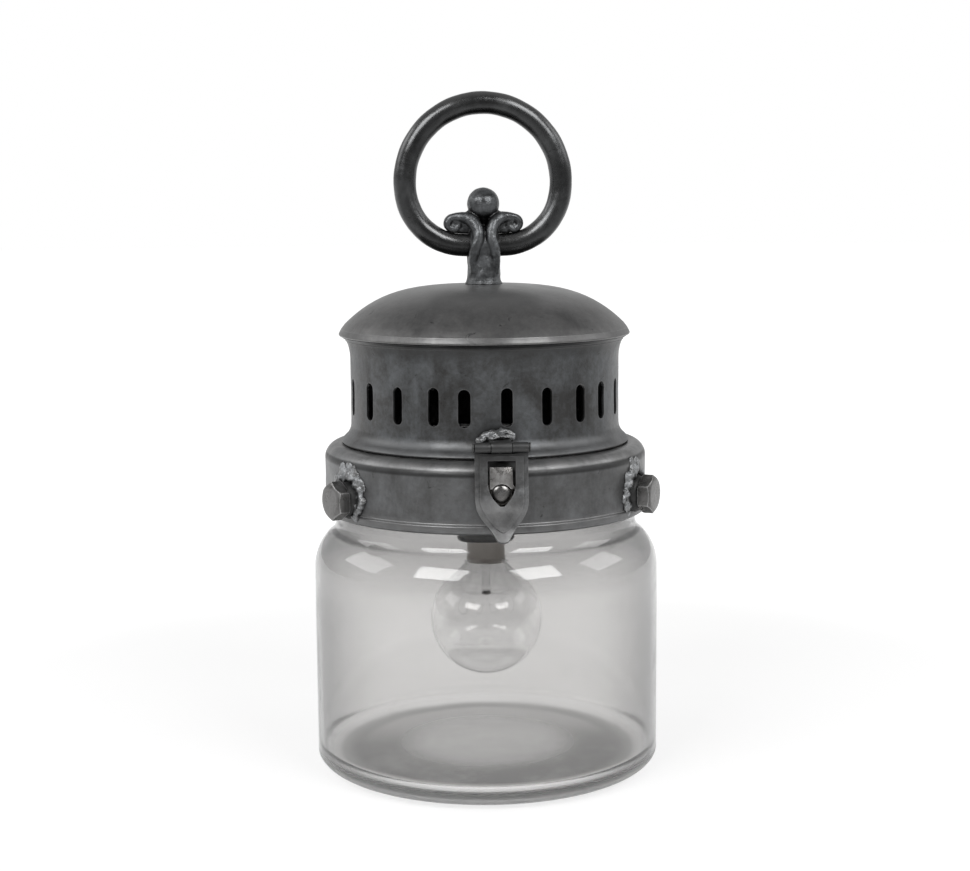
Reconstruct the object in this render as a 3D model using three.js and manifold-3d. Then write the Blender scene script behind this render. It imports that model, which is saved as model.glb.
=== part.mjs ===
// Stable lantern: a glass jar clamped in a metal collar, and a hinged lid that carries a slotted vent drum,
// a dome, a cast post with a ring handle, and a lampholder with a bulb that hangs into the jar.
// Millimetres, +Z up. The origin is the centre of the jar's foot and the hasp faces -Y.
// Side outlines are drawn with the first coordinate outwards and the second upwards.

import * as THREE from 'three';
import { mergeVertices } from 'three/addons/utils/BufferGeometryUtils.js';
import Module from 'manifold-3d';

const wasm = await Module();
wasm.setup();

// Fits
const seatGap = 0.3;        // between pieces that rest on each other or are soldered
const turnGap = 0.4;        // between pieces that turn in each other
const overrun = 2;          // how far a cutting shape passes what it cuts

// Facets
const roundSides = 42;      // round the jar, collar, drum and dome
const smallSides = 12;      // round screws, bosses, nuts and the post
const pinSides = 10;
const bulbSides = 18;
const cornerSteps = 2;      // along a small rounded corner
const outlineSteps = 4;     // along a rounded end of a flat outline, or half an arch
const shoulderSteps = 5;
const hexagonSides = 6;

// Jar
const jarRadius = 90;
const jarWall = 3;
const jarShoulderHeight = 105;
const jarShoulderRadius = 25;
const jarNeckStep = 12;     // from the jar's side in to its neck
const jarNeckWall = 3.4;
const jarCornerHeight = 8;
const jarCornerReach = 13;  // the rounded corner runs this far in under the side
const jarFloor = 7;
const jarFloorCrown = 3;    // the floor rises this much towards its centre
const jarCrownShare = 0.75; // of that rise, reached halfway in
const jarFootWidth = 16;    // the flat ring that the jar stands on
const jarPushUp = 2;        // the hollow inside that ring

// Collar
const collarLift = 30;      // from the start of the jar's shoulder up to the collar's foot
const collarHeight = 34.8;
const collarStand = 5.3;    // from the jar's neck out to the collar's outside
const collarWall = 2.3;
const collarTopRadius = 5.5;
const collarFlange = 2.5;   // thickness of the top that turns inwards
const collarLip = 2;        // thickness of the bottom that turns in to the jar
const collarBeadHeight = 4.8;
const collarBeadProud = 0.7;
const mouthStep = 11.3;     // from the collar's outside in to the mouth that the lid closes

// Clamp screws and their bosses
const screwTurn = THREE.MathUtils.degToRad(120);
const screwDrop = 22.8;     // from the top of the collar down to the screw axis
const screwRadius = 5;
const screwHeadFlats = 17;
const screwHeadHeight = 6.4;
const screwHeadChamfer = 1;
const bossRadius = 9.4;
const bossHeight = 3.5;
const bossWeldRadius = 12;  // the weld bead spreads to this
const bossWeldHeight = 1.6;
const bossWeldShare = 1 / 3; // of the bead's width that stays at its full height

// Keeper behind the hasp
const studDrop = 14.8;      // from the top of the collar down to the stud axis
const studRadius = 5;
const studHeight = 3.7;
const studShankRadius = 2.5;
const wedgeWidth = 11;
const wedgeTopDrop = 1.6;
const wedgeHeight = 10.2;
const wedgeThin = 1;
const wedgeThick = 3;

// Hasp
const haspWidth = 25.6;
const haspThickness = 2.2;
const haspStand = 3.7;      // from the collar's outside out to the pivot
const haspPivotRise = 7.9;  // above the lid's seat
const haspBarrelRadius = 2.8;
const haspPinRadius = 1.5;
const haspPinHeadRadius = 2.3;
const haspPinHead = 0.8;
const haspSetBack = 1.5;    // from the pivot in to the back of the plate
const haspBendDrop = 18;    // from the pivot down to the bend
const haspCurlDrop = 39;
const haspTipDrop = 46.4;
const haspShoulderDrop = 26;
const haspTaperDrop = 38.6;
const haspTaperHalfWidth = 6.6;
const haspTipHalfWidth = 5;
const haspBendAngle = THREE.MathUtils.degToRad(12);
const haspCurlAngle = THREE.MathUtils.degToRad(25);
const windowWidth = 13.2;
const windowTopDrop = 6.3;
const windowBottomDrop = 28.8;
const lugWidth = 10.1;
const lugWeldRise = 6;      // how far the weld climbs above the pivot, on the drum

// Lid hinge
const hingeStand = 8.7;     // from the collar's outside out to the hinge's axis
const hingeDrop = 0.1;      // axis below the lid's seat
const hingeBarrelRadius = 3.2;
const hingePinRadius = 1.7;
const hingePinHeadRadius = 2.6;
const hingePinHead = 1;
const hingeWidth = 24;
const hingeKnuckleWidth = 10;
const hingeLeafThickness = 2.6;
const hingeLeafTopDrop = 1;
const hingeLeafHeight = 8.3;

// Vent drum
const drumStep = 13.9;      // from the collar's outside in to the drum's wall
const drumWall = 2;
const drumHeight = 54.9;
const drumSeatProud = 5;    // how far the foot flares out of the wall
const drumSeatHeight = 6;
const drumSeatChamfer = 0.8;
const drumFlareHeight = 8.2;
const drumFlareRadius = 4;  // of the hollow round between the flare and the wall
const drumFlareDegrees = 41; // the flare leans this far from upright
const drumCoveHeight = 12;
const drumRimProud = 4.6;
const drumRimHeight = 2;
const slotWidth = 5.9;
const slotHeight = 18.8;
const slotBottom = 15.1;    // above the lid's seat
// The slots were cut by hand. These are the turns of the ten at the front, from the hasp towards +X.
const frontSlotDegrees = [-80.2, -60.9, -43.2, -26.2, -13.35, 3.8, 20.9, 37.7, 51.8, 68.1];
const rearSlotCount = 11;

// Dome
const domeOverhang = 1.1;   // past the drum's rim
const domeSheet = 2;
const domeRimHeight = 2.6;
const domeRimRound = 1;
const domeRise = 23.1;
const domeFullness = 3.6;   // exponent of the dome's curve: a higher one is flatter on top
const domeSteps = 7;

// Post
const postFootRadius = 10;
const postFootHeight = 3;
const postStemRadius = 8.4;
const postEyeRise = 20;     // from the dome up to the axis of the handle's bar
const postEyeRadius = 9.8;
const postEyeWidth = 14.6;
const postNeckRadius = 5.4;
const postBallRise = 41.3;
const postBallRadius = 8.7;
const scrollOut = 14.7;
const scrollRise = 31.4;
const scrollBarRadius = 2.3;
const scrollRadius = 3.1;   // of the bar's centre line, where the scroll begins
const scrollEyeRadius = 2.6;
const scrollStart = THREE.MathUtils.degToRad(140);
const scrollSweep = THREE.MathUtils.degToRad(300);
const scrollSteps = 8;
const scrollSides = 6;
const postWaistShare = 0.97; // of the stem's radius, at the eye
const postBudShare = 0.93;  // of the ball's radius, where the bud runs into the ball
const postShankRadius = 4;
const postShankLength = 12;
const washerRadius = 10;
const washerHeight = 2;
const postNutFlats = 13;
const postNutHeight = 5.4;

// Ring handle
const ringBarRadius = 5.8;
const ringRadius = 40.1;
const ringCentreRise = 32;  // above the bar that passes through the eye
const ringBendRadius = 30;
const ringSteps = 48;
const ringSides = 10;

// Strap, threaded tube and nuts
const strapWidth = 16;
const strapThickness = 2;
const strapRise = 2;        // above the lid's seat
const strapEndHeight = 9;
const tubeRadius = 5;
const tubeBoreRadius = 3.6;
const locknutFlats = 14;
const locknutHeight = 3;
const tubeAboveNut = 3;
const tubeInHolder = 7;

// Lampholder
const holderRadius = 15;
const holderLength = 34;
const holderLipRadius = 16;
const holderLipHeight = 3;
const holderCapHeight = 17;
const holderCapNeckRadius = 7.5;
const holderCapWall = 1.6;
const holderCapDegrees = 30; // where the rounded shoulder begins, above its own foot

// Bulb
const bulbRadius = 29.5;
const bulbDrop = 42;        // from the rim of its cap down to its centre
const bulbWall = 1;
const bulbLobeDegrees = 38; // how far above its middle the round part goes on
const bulbLobeSteps = 6;
const bulbShoulderShare = 0.88; // of the drop, where the shoulder runs into the neck
const bulbHollowShare = 0.68; // of the way from the round part in to the neck, halfway up the shoulder
const bulbCapRadius = 13.25;
const bulbCapLength = 24.5;
const bulbCapWall = 0.8;
const bulbContactRadius = 4.5;
const bulbContactHeight = 1.6;
const bulbThreadDepth = 0.8;
const bulbThreadTurns = 3;
const bulbThreadShare = 0.7; // of the cap's length
const bulbLeadShare = 0.15; // of the cap's length, below the thread
const stemTopShare = 1 / 3; // of the cap's length, above its rim
const stemTubeRadius = 3.2;
const stemPinchRadius = 2.2;
const stemLength = 29;
const stemFlareLength = 7;
const filamentWireRadius = 0.5;
const filamentHalfWidth = 15;
const filamentDrop = 12;
const filamentPeak = 7;
const filamentWaves = 3;
const wireSteps = 2;        // along the wire, from one bend to the next
const wireSides = 4;

// Cable bush in the back of the drum
const bushRadius = 5.4;
const bushWaistRadius = 3.8;
const bushBoreRadius = 2.4;
const bushLip = 1.3;

// Places worked out from the sizes
const jarNeckRadius = jarRadius - jarNeckStep;
const collarRadius = jarNeckRadius + collarStand;
const mouthRadius = collarRadius - mouthStep;
const haspPivotOut = collarRadius + haspStand;
const hingeOut = collarRadius + hingeStand;
const drumRadius = collarRadius - drumStep;
const drumSeatRadius = drumRadius + drumSeatProud;
const drumRimRadius = drumRadius + drumRimProud;
const domeRadius = drumRimRadius + domeOverhang;
const collarBottom = jarShoulderHeight + collarLift;
const collarTop = collarBottom + collarHeight;
const seatHeight = collarTop + seatGap;
const neckTop = collarTop - collarFlange - seatGap;
const domeBase = drumHeight + seatGap;
const crown = domeBase + domeRimHeight + domeRise;
const screwHeight = collarTop - screwDrop;
const boreRadius = screwRadius + seatGap;
const strapTop = strapRise + strapThickness;
const lowerNutTop = strapRise - seatGap;
const holderCapTop = lowerNutTop - locknutHeight - seatGap;
const holderTop = holderCapTop - holderCapHeight - seatGap;
const holderBottom = holderTop - holderLength;
const bulbRim = holderBottom;
const bulbCentre = bulbRim - bulbDrop;
const bulbCapInner = bulbCapRadius - bulbThreadDepth - bulbCapWall;
const bulbNeckRadius = bulbCapInner - seatGap;
const stemRadius = bulbNeckRadius - bulbWall - seatGap;
const stemTop = bulbRim + bulbCapLength * stemTopShare;

// Finishes
const finishes = {
  collar: { color: 0x6c6d6f, roughness: 0.52, metalness: 0.75 },
  drum: { color: 0x55565a, roughness: 0.55, metalness: 0.75 },
  dome: { color: 0x5d5e61, roughness: 0.5, metalness: 0.75 },
  casting: { color: 0x515257, roughness: 0.6, metalness: 0.7 },
  ring: { color: 0x3d3e41, roughness: 0.4, metalness: 0.8 },
  bareSteel: { color: 0x9b9b95, roughness: 0.4, metalness: 0.9 },
  darkSteel: { color: 0x4a4b4d, roughness: 0.5, metalness: 0.8 },
  nickel: { color: 0xa8a69e, roughness: 0.3, metalness: 0.95 },
  bakelite: { color: 0x24221f, roughness: 0.4, metalness: 0 },
  rubber: { color: 0x1c1c1d, roughness: 0.8, metalness: 0 },
  jarGlass: { color: 0xc4c4bf, roughness: 0.06, metalness: 0, transparent: true, opacity: 0.45 },
  bulbGlass: { color: 0xe4e4e0, roughness: 0.04, metalness: 0, transparent: true, opacity: 0.4 },
};

function mesh(name, geometry, finish) {
  const made = new THREE.Mesh(geometry, new THREE.MeshStandardMaterial(finishes[finish]));
  made.name = name;
  return made;
}

// Joins and cuts

// A closed geometry as a solid: corners shared, slivers at a lathe's poles dropped, faces outwards.
function solid(geometry) {
  const bare = geometry.clone();
  bare.deleteAttribute('normal');
  bare.deleteAttribute('uv');
  const merged = mergeVertices(bare);
  const corners = merged.index.array;
  const kept = [];
  for (let i = 0; i < corners.length; i += 3) {
    const [a, b, c] = [corners[i], corners[i + 1], corners[i + 2]];
    if (a !== b && b !== c && c !== a) {
      kept.push(a, b, c);
    }
  }
  const places = merged.attributes.position.array;
  const made = manifoldOf(places, kept);
  return made.volume() > 0 ? made : manifoldOf(places, kept.reverse());
}

function manifoldOf(vertProperties, corners) {
  const triVerts = new Uint32Array(corners);
  return new wasm.Manifold(new wasm.Mesh({ numProp: 3, vertProperties, triVerts }));
}

function geometryOf(body) {
  const { vertProperties, triVerts, numProp } = body.getMesh();
  const geometry = new THREE.BufferGeometry();
  const positions = new THREE.InterleavedBuffer(vertProperties, numProp);
  geometry.setAttribute('position', new THREE.InterleavedBufferAttribute(positions, 3, 0));
  geometry.setIndex(new THREE.BufferAttribute(triVerts, 1));
  const flat = geometry.toNonIndexed();
  flat.computeVertexNormals();
  return flat;
}

function join(...geometries) {
  return geometries.map(solid).reduce((whole, next) => whole.add(next));
}

function cut(body, ...geometries) {
  return geometries.reduce((left, next) => left.subtract(solid(next)), body);
}

// Shapes

// A profile of [radius, height] pairs turned about Z. A profile off the axis closes on itself.
function turned(profile, sides = smallSides) {
  const points = profile.map(([radius, height]) => new THREE.Vector2(radius, height));
  if (profile[0][0] > 0) {
    points.push(points[0].clone());
  }
  if (THREE.ShapeUtils.area(points) < 0) {
    points.reverse();
  }
  return new THREE.LatheGeometry(points, sides).rotateX(Math.PI / 2);
}

// The same, with its axis along +Y, so that heights are distances outwards.
function turnedOutwards(profile, sides) {
  return turned(profile, sides).rotateX(-Math.PI / 2);
}

// The same, with its axis along X.
function turnedAcross(profile, sides) {
  return turned(profile, sides).rotateY(Math.PI / 2);
}

function disc(radius, from, to) {
  return [[0, from], [radius, from], [radius, to], [0, to]];
}

function sleeve(inner, outer, from, to) {
  return [[inner, from], [outer, from], [outer, to], [inner, to]];
}

// Points along an ellipse from one angle to another, in degrees.
function arc([x, y], [halfWidth, halfHeight], from, to, steps = cornerSteps) {
  return Array.from({ length: steps + 1 }, (_, step) => {
    const angle = THREE.MathUtils.degToRad(from + ((to - from) * step) / steps);
    return [x + halfWidth * Math.cos(angle), y + halfHeight * Math.sin(angle)];
  });
}

function shapeOf(points) {
  return new THREE.Shape(points.map(([x, y]) => new THREE.Vector2(x, y)));
}

// An outline drawn outwards and upwards, given a width across X.
function sideOutline(points, width, centre = 0) {
  const shape = shapeOf(points);
  const geometry = new THREE.ExtrudeGeometry(shape, { depth: width, bevelEnabled: false });
  geometry.translate(0, 0, centre - width / 2);
  const outwards = new THREE.Vector3(0, 1, 0);
  const upwards = new THREE.Vector3(0, 0, 1);
  const across = new THREE.Vector3(1, 0, 0);
  return geometry.applyMatrix4(new THREE.Matrix4().makeBasis(outwards, upwards, across));
}

// An outline drawn across X and upwards, pushed through from one distance outwards to another.
function faceOutline(shape, from, to, steps = outlineSteps) {
  const settings = { depth: to - from, bevelEnabled: false, curveSegments: steps };
  return new THREE.ExtrudeGeometry(shape, settings).rotateX(Math.PI / 2).translate(0, to, 0);
}

// A hexagonal prism along Z.
function hexagon(flats, from, to) {
  const corner = cornerRadius(flats);
  const prism = new THREE.CylinderGeometry(corner, corner, to - from, hexagonSides);
  return prism.rotateX(Math.PI / 2).translate(0, 0, (from + to) / 2);
}

// From the centre of a hexagon to its corners.
function cornerRadius(flats) {
  return flats / Math.sqrt(3);
}

// Jar

function jarGeometry() {
  const shoulderCentre = jarRadius - jarShoulderRadius;
  const innerShoulder = jarShoulderRadius - jarWall;
  const innerNeck = jarNeckRadius - jarNeckWall;
  const outerShare = (jarNeckRadius - shoulderCentre) / jarShoulderRadius;
  const innerShare = (innerNeck - shoulderCentre) / innerShoulder;
  const outerMeets = THREE.MathUtils.radToDeg(Math.acos(outerShare));
  const innerMeets = THREE.MathUtils.radToDeg(Math.acos(innerShare));
  const shoulder = [shoulderCentre, jarShoulderHeight];
  const footOuter = jarRadius - jarCornerReach;
  const footInner = footOuter - jarFootWidth;
  const corner = [jarCornerReach, jarCornerHeight];
  const floorRadius = jarRadius - jarWall - jarCornerReach;
  const profile = [
    ...arc([0, 0], [footInner, jarPushUp], 90, 0),
    ...arc([footOuter, jarCornerHeight], corner, -90, 0),
    ...arc(shoulder, [jarShoulderRadius, jarShoulderRadius], 0, outerMeets, shoulderSteps),
    [jarNeckRadius, neckTop],
    [innerNeck, neckTop],
    ...arc(shoulder, [innerShoulder, innerShoulder], innerMeets, 0, outlineSteps),
    ...arc([floorRadius, jarFloor + jarCornerHeight], corner, 0, -90),
    [floorRadius / 2, jarFloor + jarFloorCrown * jarCrownShare],
    [0, jarFloor + jarFloorCrown],
  ];
  return geometryOf(solid(turned(profile, roundSides)));
}

// Collar

// The bead round the collar's foot, on its outside.
function collarBead() {
  const bead = collarRadius + collarBeadProud;
  return [
    ...arc([bead - collarLip, collarBottom + collarLip], [collarLip, collarLip], -90, 0),
    [bead, collarBottom + collarBeadHeight - collarBeadProud],
    [collarRadius, collarBottom + collarBeadHeight],
  ];
}

// The space that the collar fills, with its fit, for cutting what is welded to its outside.
function collarSpace() {
  const bead = collarRadius + collarBeadProud + seatGap;
  const foot = collarBottom + collarBeadHeight;
  const profile = [
    [0, collarBottom - overrun],
    [bead, collarBottom - overrun],
    [bead, foot - collarBeadProud + seatGap],
    [collarRadius + seatGap, foot + seatGap],
    [collarRadius + seatGap, collarTop + overrun],
    [0, collarTop + overrun],
  ];
  return turned(profile, roundSides);
}

function collarGeometry() {
  const inner = collarRadius - collarWall;
  const lipInner = jarNeckRadius + seatGap;
  const round = [collarTopRadius, collarTopRadius];
  const innerRound = [collarTopRadius - collarWall, collarTopRadius - collarWall];
  const flangeBottom = collarTop - collarFlange;
  const profile = [
    [lipInner, collarBottom],
    ...collarBead(),
    ...arc([collarRadius - round[0], collarTop - round[0]], round, 0, 90, cornerSteps + 1),
    [mouthRadius, collarTop],
    [mouthRadius, flangeBottom],
    ...arc([inner - innerRound[0], flangeBottom - innerRound[0]], innerRound, 90, 0),
    [inner, collarBottom + collarLip],
    [lipInner, collarBottom + collarLip],
  ];
  const wallFrom = jarNeckRadius;
  const wallTo = collarRadius + overrun;
  const holes = [0, screwTurn, -screwTurn].map((turn) =>
    turnedOutwards(disc(boreRadius, wallFrom, wallTo)).translate(0, 0, screwHeight).rotateZ(turn));
  const studHole = turnedOutwards(disc(studShankRadius + seatGap, wallFrom, wallTo));
  studHole.translate(0, 0, collarTop - studDrop).rotateZ(Math.PI);
  return geometryOf(cut(solid(turned(profile, roundSides)), ...holes, studHole));
}

// Bosses and screws, drawn facing +Y at the height of the screw axis

function bossGeometry() {
  const face = collarRadius + seatGap + bossHeight;
  const weldTop = collarRadius + seatGap + bossWeldHeight;
  const root = collarRadius - overrun;
  const profile = [
    [boreRadius, root],
    [bossWeldRadius, root],
    [bossWeldRadius, collarRadius + seatGap / 2],
    [THREE.MathUtils.lerp(bossRadius, bossWeldRadius, bossWeldShare), weldTop],
    [bossRadius, weldTop],
    [bossRadius, face],
    [boreRadius, face],
  ];
  const boss = turnedOutwards(profile).translate(0, 0, screwHeight);
  return geometryOf(cut(solid(boss), collarSpace()).translate([0, 0, -screwHeight]));
}

function screwGeometry() {
  const tip = jarNeckRadius + seatGap;
  const headSeat = collarRadius + seatGap + bossHeight + seatGap;
  const headTop = headSeat + screwHeadHeight;
  const past = cornerRadius(screwHeadFlats) + overrun;
  const chamfered = turned([
    [0, headSeat],
    [screwHeadFlats / 2, headSeat],
    [past, headSeat + screwHeadChamfer + overrun],
    [past, headTop - screwHeadChamfer - overrun],
    [screwHeadFlats / 2, headTop],
    [0, headTop],
  ]);
  const head = solid(hexagon(screwHeadFlats, headSeat, headTop)).intersect(solid(chamfered));
  const middle = (headSeat + headTop) / 2;
  const shank = turned([
    [0, tip],
    [screwRadius - screwHeadChamfer, tip],
    [screwRadius, tip + screwHeadChamfer],
    [screwRadius, middle],
    [0, middle],
  ]);
  return geometryOf(head.add(solid(shank))).rotateX(-Math.PI / 2);
}

// Keeper, drawn facing +Y

function studGeometry() {
  const seat = collarRadius + seatGap;
  return turnedOutwards([
    [0, collarRadius - collarWall],
    [studShankRadius, collarRadius - collarWall],
    [studShankRadius, seat],
    ...arc([0, seat], [studRadius, studHeight], 0, 90, cornerSteps + 1),
  ]);
}

function wedgeGeometry() {
  const top = collarTop - wedgeTopDrop;
  const seat = collarRadius + seatGap;
  const side = [
    [collarRadius - overrun, top - wedgeHeight],
    [seat + wedgeThick, top - wedgeHeight],
    [seat + wedgeThin, top],
    [collarRadius - overrun, top],
  ];
  const notch = disc(studRadius + seatGap, collarRadius - overrun, seat + wedgeThick + overrun);
  const studClear = turnedOutwards(notch).translate(0, 0, collarTop - studDrop);
  return geometryOf(cut(solid(sideOutline(side, wedgeWidth)), collarSpace(), studClear));
}

// Hasp, drawn facing +Y about its own pivot

function haspGeometry() {
  const halfWidth = haspWidth / 2;
  const bendReach = (haspCurlDrop - haspBendDrop) * Math.tan(haspBendAngle);
  const curlReach = (haspTipDrop - haspCurlDrop) * Math.tan(haspCurlAngle);
  const back = [
    [-haspSetBack, 0],
    [-haspSetBack, -haspBendDrop],
    [-haspSetBack + bendReach, -haspCurlDrop],
    [-haspSetBack + bendReach + curlReach, -haspTipDrop],
  ];
  const front = back.map(([out, up]) => [out + haspThickness, up]).reverse();
  const bentStrip = sideOutline([...back, ...front], haspWidth);

  const shield = new THREE.Shape();
  const taperMiddle = -(haspShoulderDrop + haspTaperDrop) / 2;
  shield.moveTo(-halfWidth, 0);
  shield.lineTo(-halfWidth, -haspShoulderDrop);
  shield.quadraticCurveTo(-halfWidth, taperMiddle, -haspTaperHalfWidth, -haspTaperDrop);
  shield.lineTo(-haspTipHalfWidth, -haspTipDrop + haspTipHalfWidth);
  shield.quadraticCurveTo(-haspTipHalfWidth, -haspTipDrop, 0, -haspTipDrop);
  shield.quadraticCurveTo(haspTipHalfWidth, -haspTipDrop, haspTipHalfWidth, -haspTipDrop + haspTipHalfWidth);
  shield.lineTo(haspTaperHalfWidth, -haspTaperDrop);
  shield.quadraticCurveTo(halfWidth, taperMiddle, halfWidth, -haspShoulderDrop);
  shield.lineTo(halfWidth, 0);
  const deep = haspBarrelRadius + bendReach + curlReach + haspThickness;
  const plate = solid(bentStrip).intersect(solid(faceOutline(shield, -deep, deep)));

  const window = new THREE.Shape();
  window.moveTo(-windowWidth / 2, -windowTopDrop);
  window.lineTo(-windowWidth / 2, -windowBottomDrop + windowWidth / 2);
  window.absarc(0, -windowBottomDrop + windowWidth / 2, windowWidth / 2, Math.PI, Math.PI * 2, false);
  window.lineTo(windowWidth / 2, -windowTopDrop);

  const notchHalf = lugWidth / 2 + seatGap;
  const notch = shapeOf([
    [-notchHalf, -haspBarrelRadius - seatGap],
    [notchHalf, -haspBarrelRadius - seatGap],
    [notchHalf, haspBarrelRadius + overrun],
    [-notchHalf, haspBarrelRadius + overrun],
  ]);
  const barrel = solid(turnedAcross(disc(haspBarrelRadius, -halfWidth, halfWidth)));
  const pinHole = turnedAcross(disc(haspPinRadius + seatGap, -halfWidth - overrun, halfWidth + overrun));
  const cuts = [faceOutline(window, -deep, deep), faceOutline(notch, -deep, deep), pinHole];
  return geometryOf(cut(plate.add(barrel), ...cuts));
}

// A pin along X with a peened head at each end.
function pinGeometry(radius, headRadius, headHeight, width) {
  const half = width / 2 + seatGap;
  const end = half + headHeight;
  const profile = [[0, -end], [headRadius, -end], [headRadius, -half], [radius, -half]];
  const mirrored = profile.map(([r, x]) => [r, -x]).reverse();
  return geometryOf(solid(turnedAcross([...profile, ...mirrored], pinSides)));
}

// Lid parts, drawn from the lid's seat upwards

function drumOuterProfile(clearance) {
  const hollow = [drumFlareRadius, drumFlareRadius];
  return [
    [drumSeatRadius - drumSeatChamfer + clearance, 0],
    [drumSeatRadius + clearance, drumSeatChamfer],
    ...arc([drumRadius + drumFlareRadius + clearance, drumFlareHeight], hollow, 180 + drumFlareDegrees, 180),
    ...arc([drumRimRadius + clearance, drumHeight - drumCoveHeight],
      [drumRimRadius - drumRadius, drumCoveHeight - drumRimHeight], 180, 90, cornerSteps + 1),
    [drumRimRadius + clearance, drumHeight],
  ];
}

function drumSpace() {
  const profile = drumOuterProfile(seatGap);
  const top = drumHeight - drumCoveHeight;
  const outer = profile.slice(1).filter(([, height]) => height <= top);
  const seat = drumSeatRadius + seatGap;
  return turned([[0, -overrun], [seat, -overrun], ...outer, [0, top]], roundSides);
}

function slotTurns() {
  const first = frontSlotDegrees[0];
  const last = frontSlotDegrees[frontSlotDegrees.length - 1];
  const step = (first + 360 - last) / (rearSlotCount + 1);
  const rear = Array.from({ length: rearSlotCount }, (_, index) => last + step * (index + 1));
  return [...frontSlotDegrees, ...rear].map((degrees) => THREE.MathUtils.degToRad(degrees));
}

// The bush sits midway between the two rear slots just past the back.
function bushTurn() {
  const past = slotTurns().filter((turn) => turn > Math.PI);
  return (past[0] + past[1]) / 2;
}

function slotGeometry() {
  const slot = new THREE.Shape();
  const radius = slotWidth / 2;
  slot.absarc(0, slotBottom + slotHeight - radius, radius, 0, Math.PI, false);
  slot.absarc(0, slotBottom + radius, radius, Math.PI, Math.PI * 2, false);
  return faceOutline(slot, drumRadius - drumWall - overrun, drumRadius + overrun, cornerSteps);
}

function drumGeometry() {
  const inner = drumRadius - drumWall;
  const innerRim = drumRimRadius - drumWall;
  const profile = [
    [inner, 0],
    ...drumOuterProfile(0),
    [innerRim, drumHeight],
    ...arc([innerRim, drumHeight - drumCoveHeight], [innerRim - inner, drumCoveHeight - drumWall], 90, 180),
  ];
  const slots = slotTurns().map((turn) => slotGeometry().rotateZ(Math.PI + turn));
  const bushHole = turnedOutwards(disc(bushWaistRadius + seatGap, inner - overrun, drumRadius + overrun));
  bushHole.translate(0, 0, slotBottom + slotHeight / 2).rotateZ(Math.PI + bushTurn());
  return geometryOf(cut(solid(turned(profile, roundSides)), ...slots, bushHole));
}

function bushGeometry() {
  const inner = drumRadius - drumWall - bushLip;
  const outer = drumRadius + bushLip;
  const profile = [
    [bushBoreRadius, inner],
    [bushRadius - bushLip / 2, inner],
    [bushRadius, inner + bushLip / 2],
    [bushRadius, outer - bushLip / 2],
    [bushRadius - bushLip / 2, outer],
    [bushBoreRadius, outer],
  ];
  const middle = slotBottom + slotHeight / 2;
  const body = solid(turnedOutwards(profile).translate(0, 0, middle).rotateZ(Math.PI + bushTurn()));
  const reach = bushRadius + overrun;
  const wallInner = drumRadius - drumWall - seatGap;
  const wall = sleeve(wallInner, drumRadius + seatGap, middle - reach, middle + reach);
  const waist = turnedOutwards(disc(bushWaistRadius, inner - overrun, outer + overrun));
  waist.translate(0, 0, middle).rotateZ(Math.PI + bushTurn());
  return geometryOf(body.subtract(cut(solid(turned(wall, roundSides)), waist)));
}

// Height of the dome's outside above its rim, at a radius given as a share of the dome's.
function domeRiseAt(radiusShare) {
  return domeRise * (1 - radiusShare ** domeFullness);
}

function domeGeometry() {
  const holeShare = (postShankRadius + seatGap) / domeRadius;
  const shares = Array.from({ length: domeSteps }, (_, step) => Math.sqrt((step + 1) / domeSteps));
  const outer = shares.map((share) => [domeRadius * share, domeRimHeight + domeRiseAt(share)]);
  const innerRadius = domeRadius - domeSheet - seatGap;
  const washerShare = (washerRadius + seatGap) / innerRadius;
  const innerShares = [holeShare, washerShare, ...shares.filter((share, step) => step % 2 === 1), 1];
  const sheetShare = domeSheet / (domeRimHeight + domeRise);
  const inner = innerShares.map((share) => [
    innerRadius * share,
    (domeRimHeight + domeRiseAt(share)) * (1 - sheetShare),
  ]);
  inner[0][0] = domeRadius * holeShare;
  inner[inner.length - 1][1] = 0;
  const profile = [
    [domeRadius * holeShare, domeRimHeight + domeRise],
    ...outer,
    [domeRadius, domeRimRound],
    [domeRadius - domeRimRound, 0],
    ...inner.reverse(),
  ];
  return geometryOf(solid(turned(profile, roundSides)));
}

// Lug and upper hinge leaf, drawn facing +Y

function lugGeometry() {
  const side = [
    [drumRadius - overrun, seatGap],
    [drumSeatRadius + drumSeatChamfer, seatGap],
    [haspPivotOut - haspSetBack - haspThickness, haspPivotRise - haspBarrelRadius],
    [haspPivotOut, haspPivotRise - haspBarrelRadius],
    [haspPivotOut, haspPivotRise + haspBarrelRadius],
    [drumSeatRadius, haspPivotRise + haspBarrelRadius],
    [drumRadius, haspPivotRise + lugWeldRise],
    [drumRadius - overrun, haspPivotRise + lugWeldRise],
  ];
  const arm = sideOutline(side, lugWidth);
  const knuckle = turnedAcross(disc(haspBarrelRadius, -lugWidth / 2, lugWidth / 2));
  const pinHole = turnedAcross(disc(haspPinRadius + seatGap, -lugWidth, lugWidth));
  knuckle.translate(0, haspPivotOut, haspPivotRise);
  pinHole.translate(0, haspPivotOut, haspPivotRise);
  return geometryOf(cut(join(arm, knuckle), drumSpace(), pinHole));
}

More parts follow.
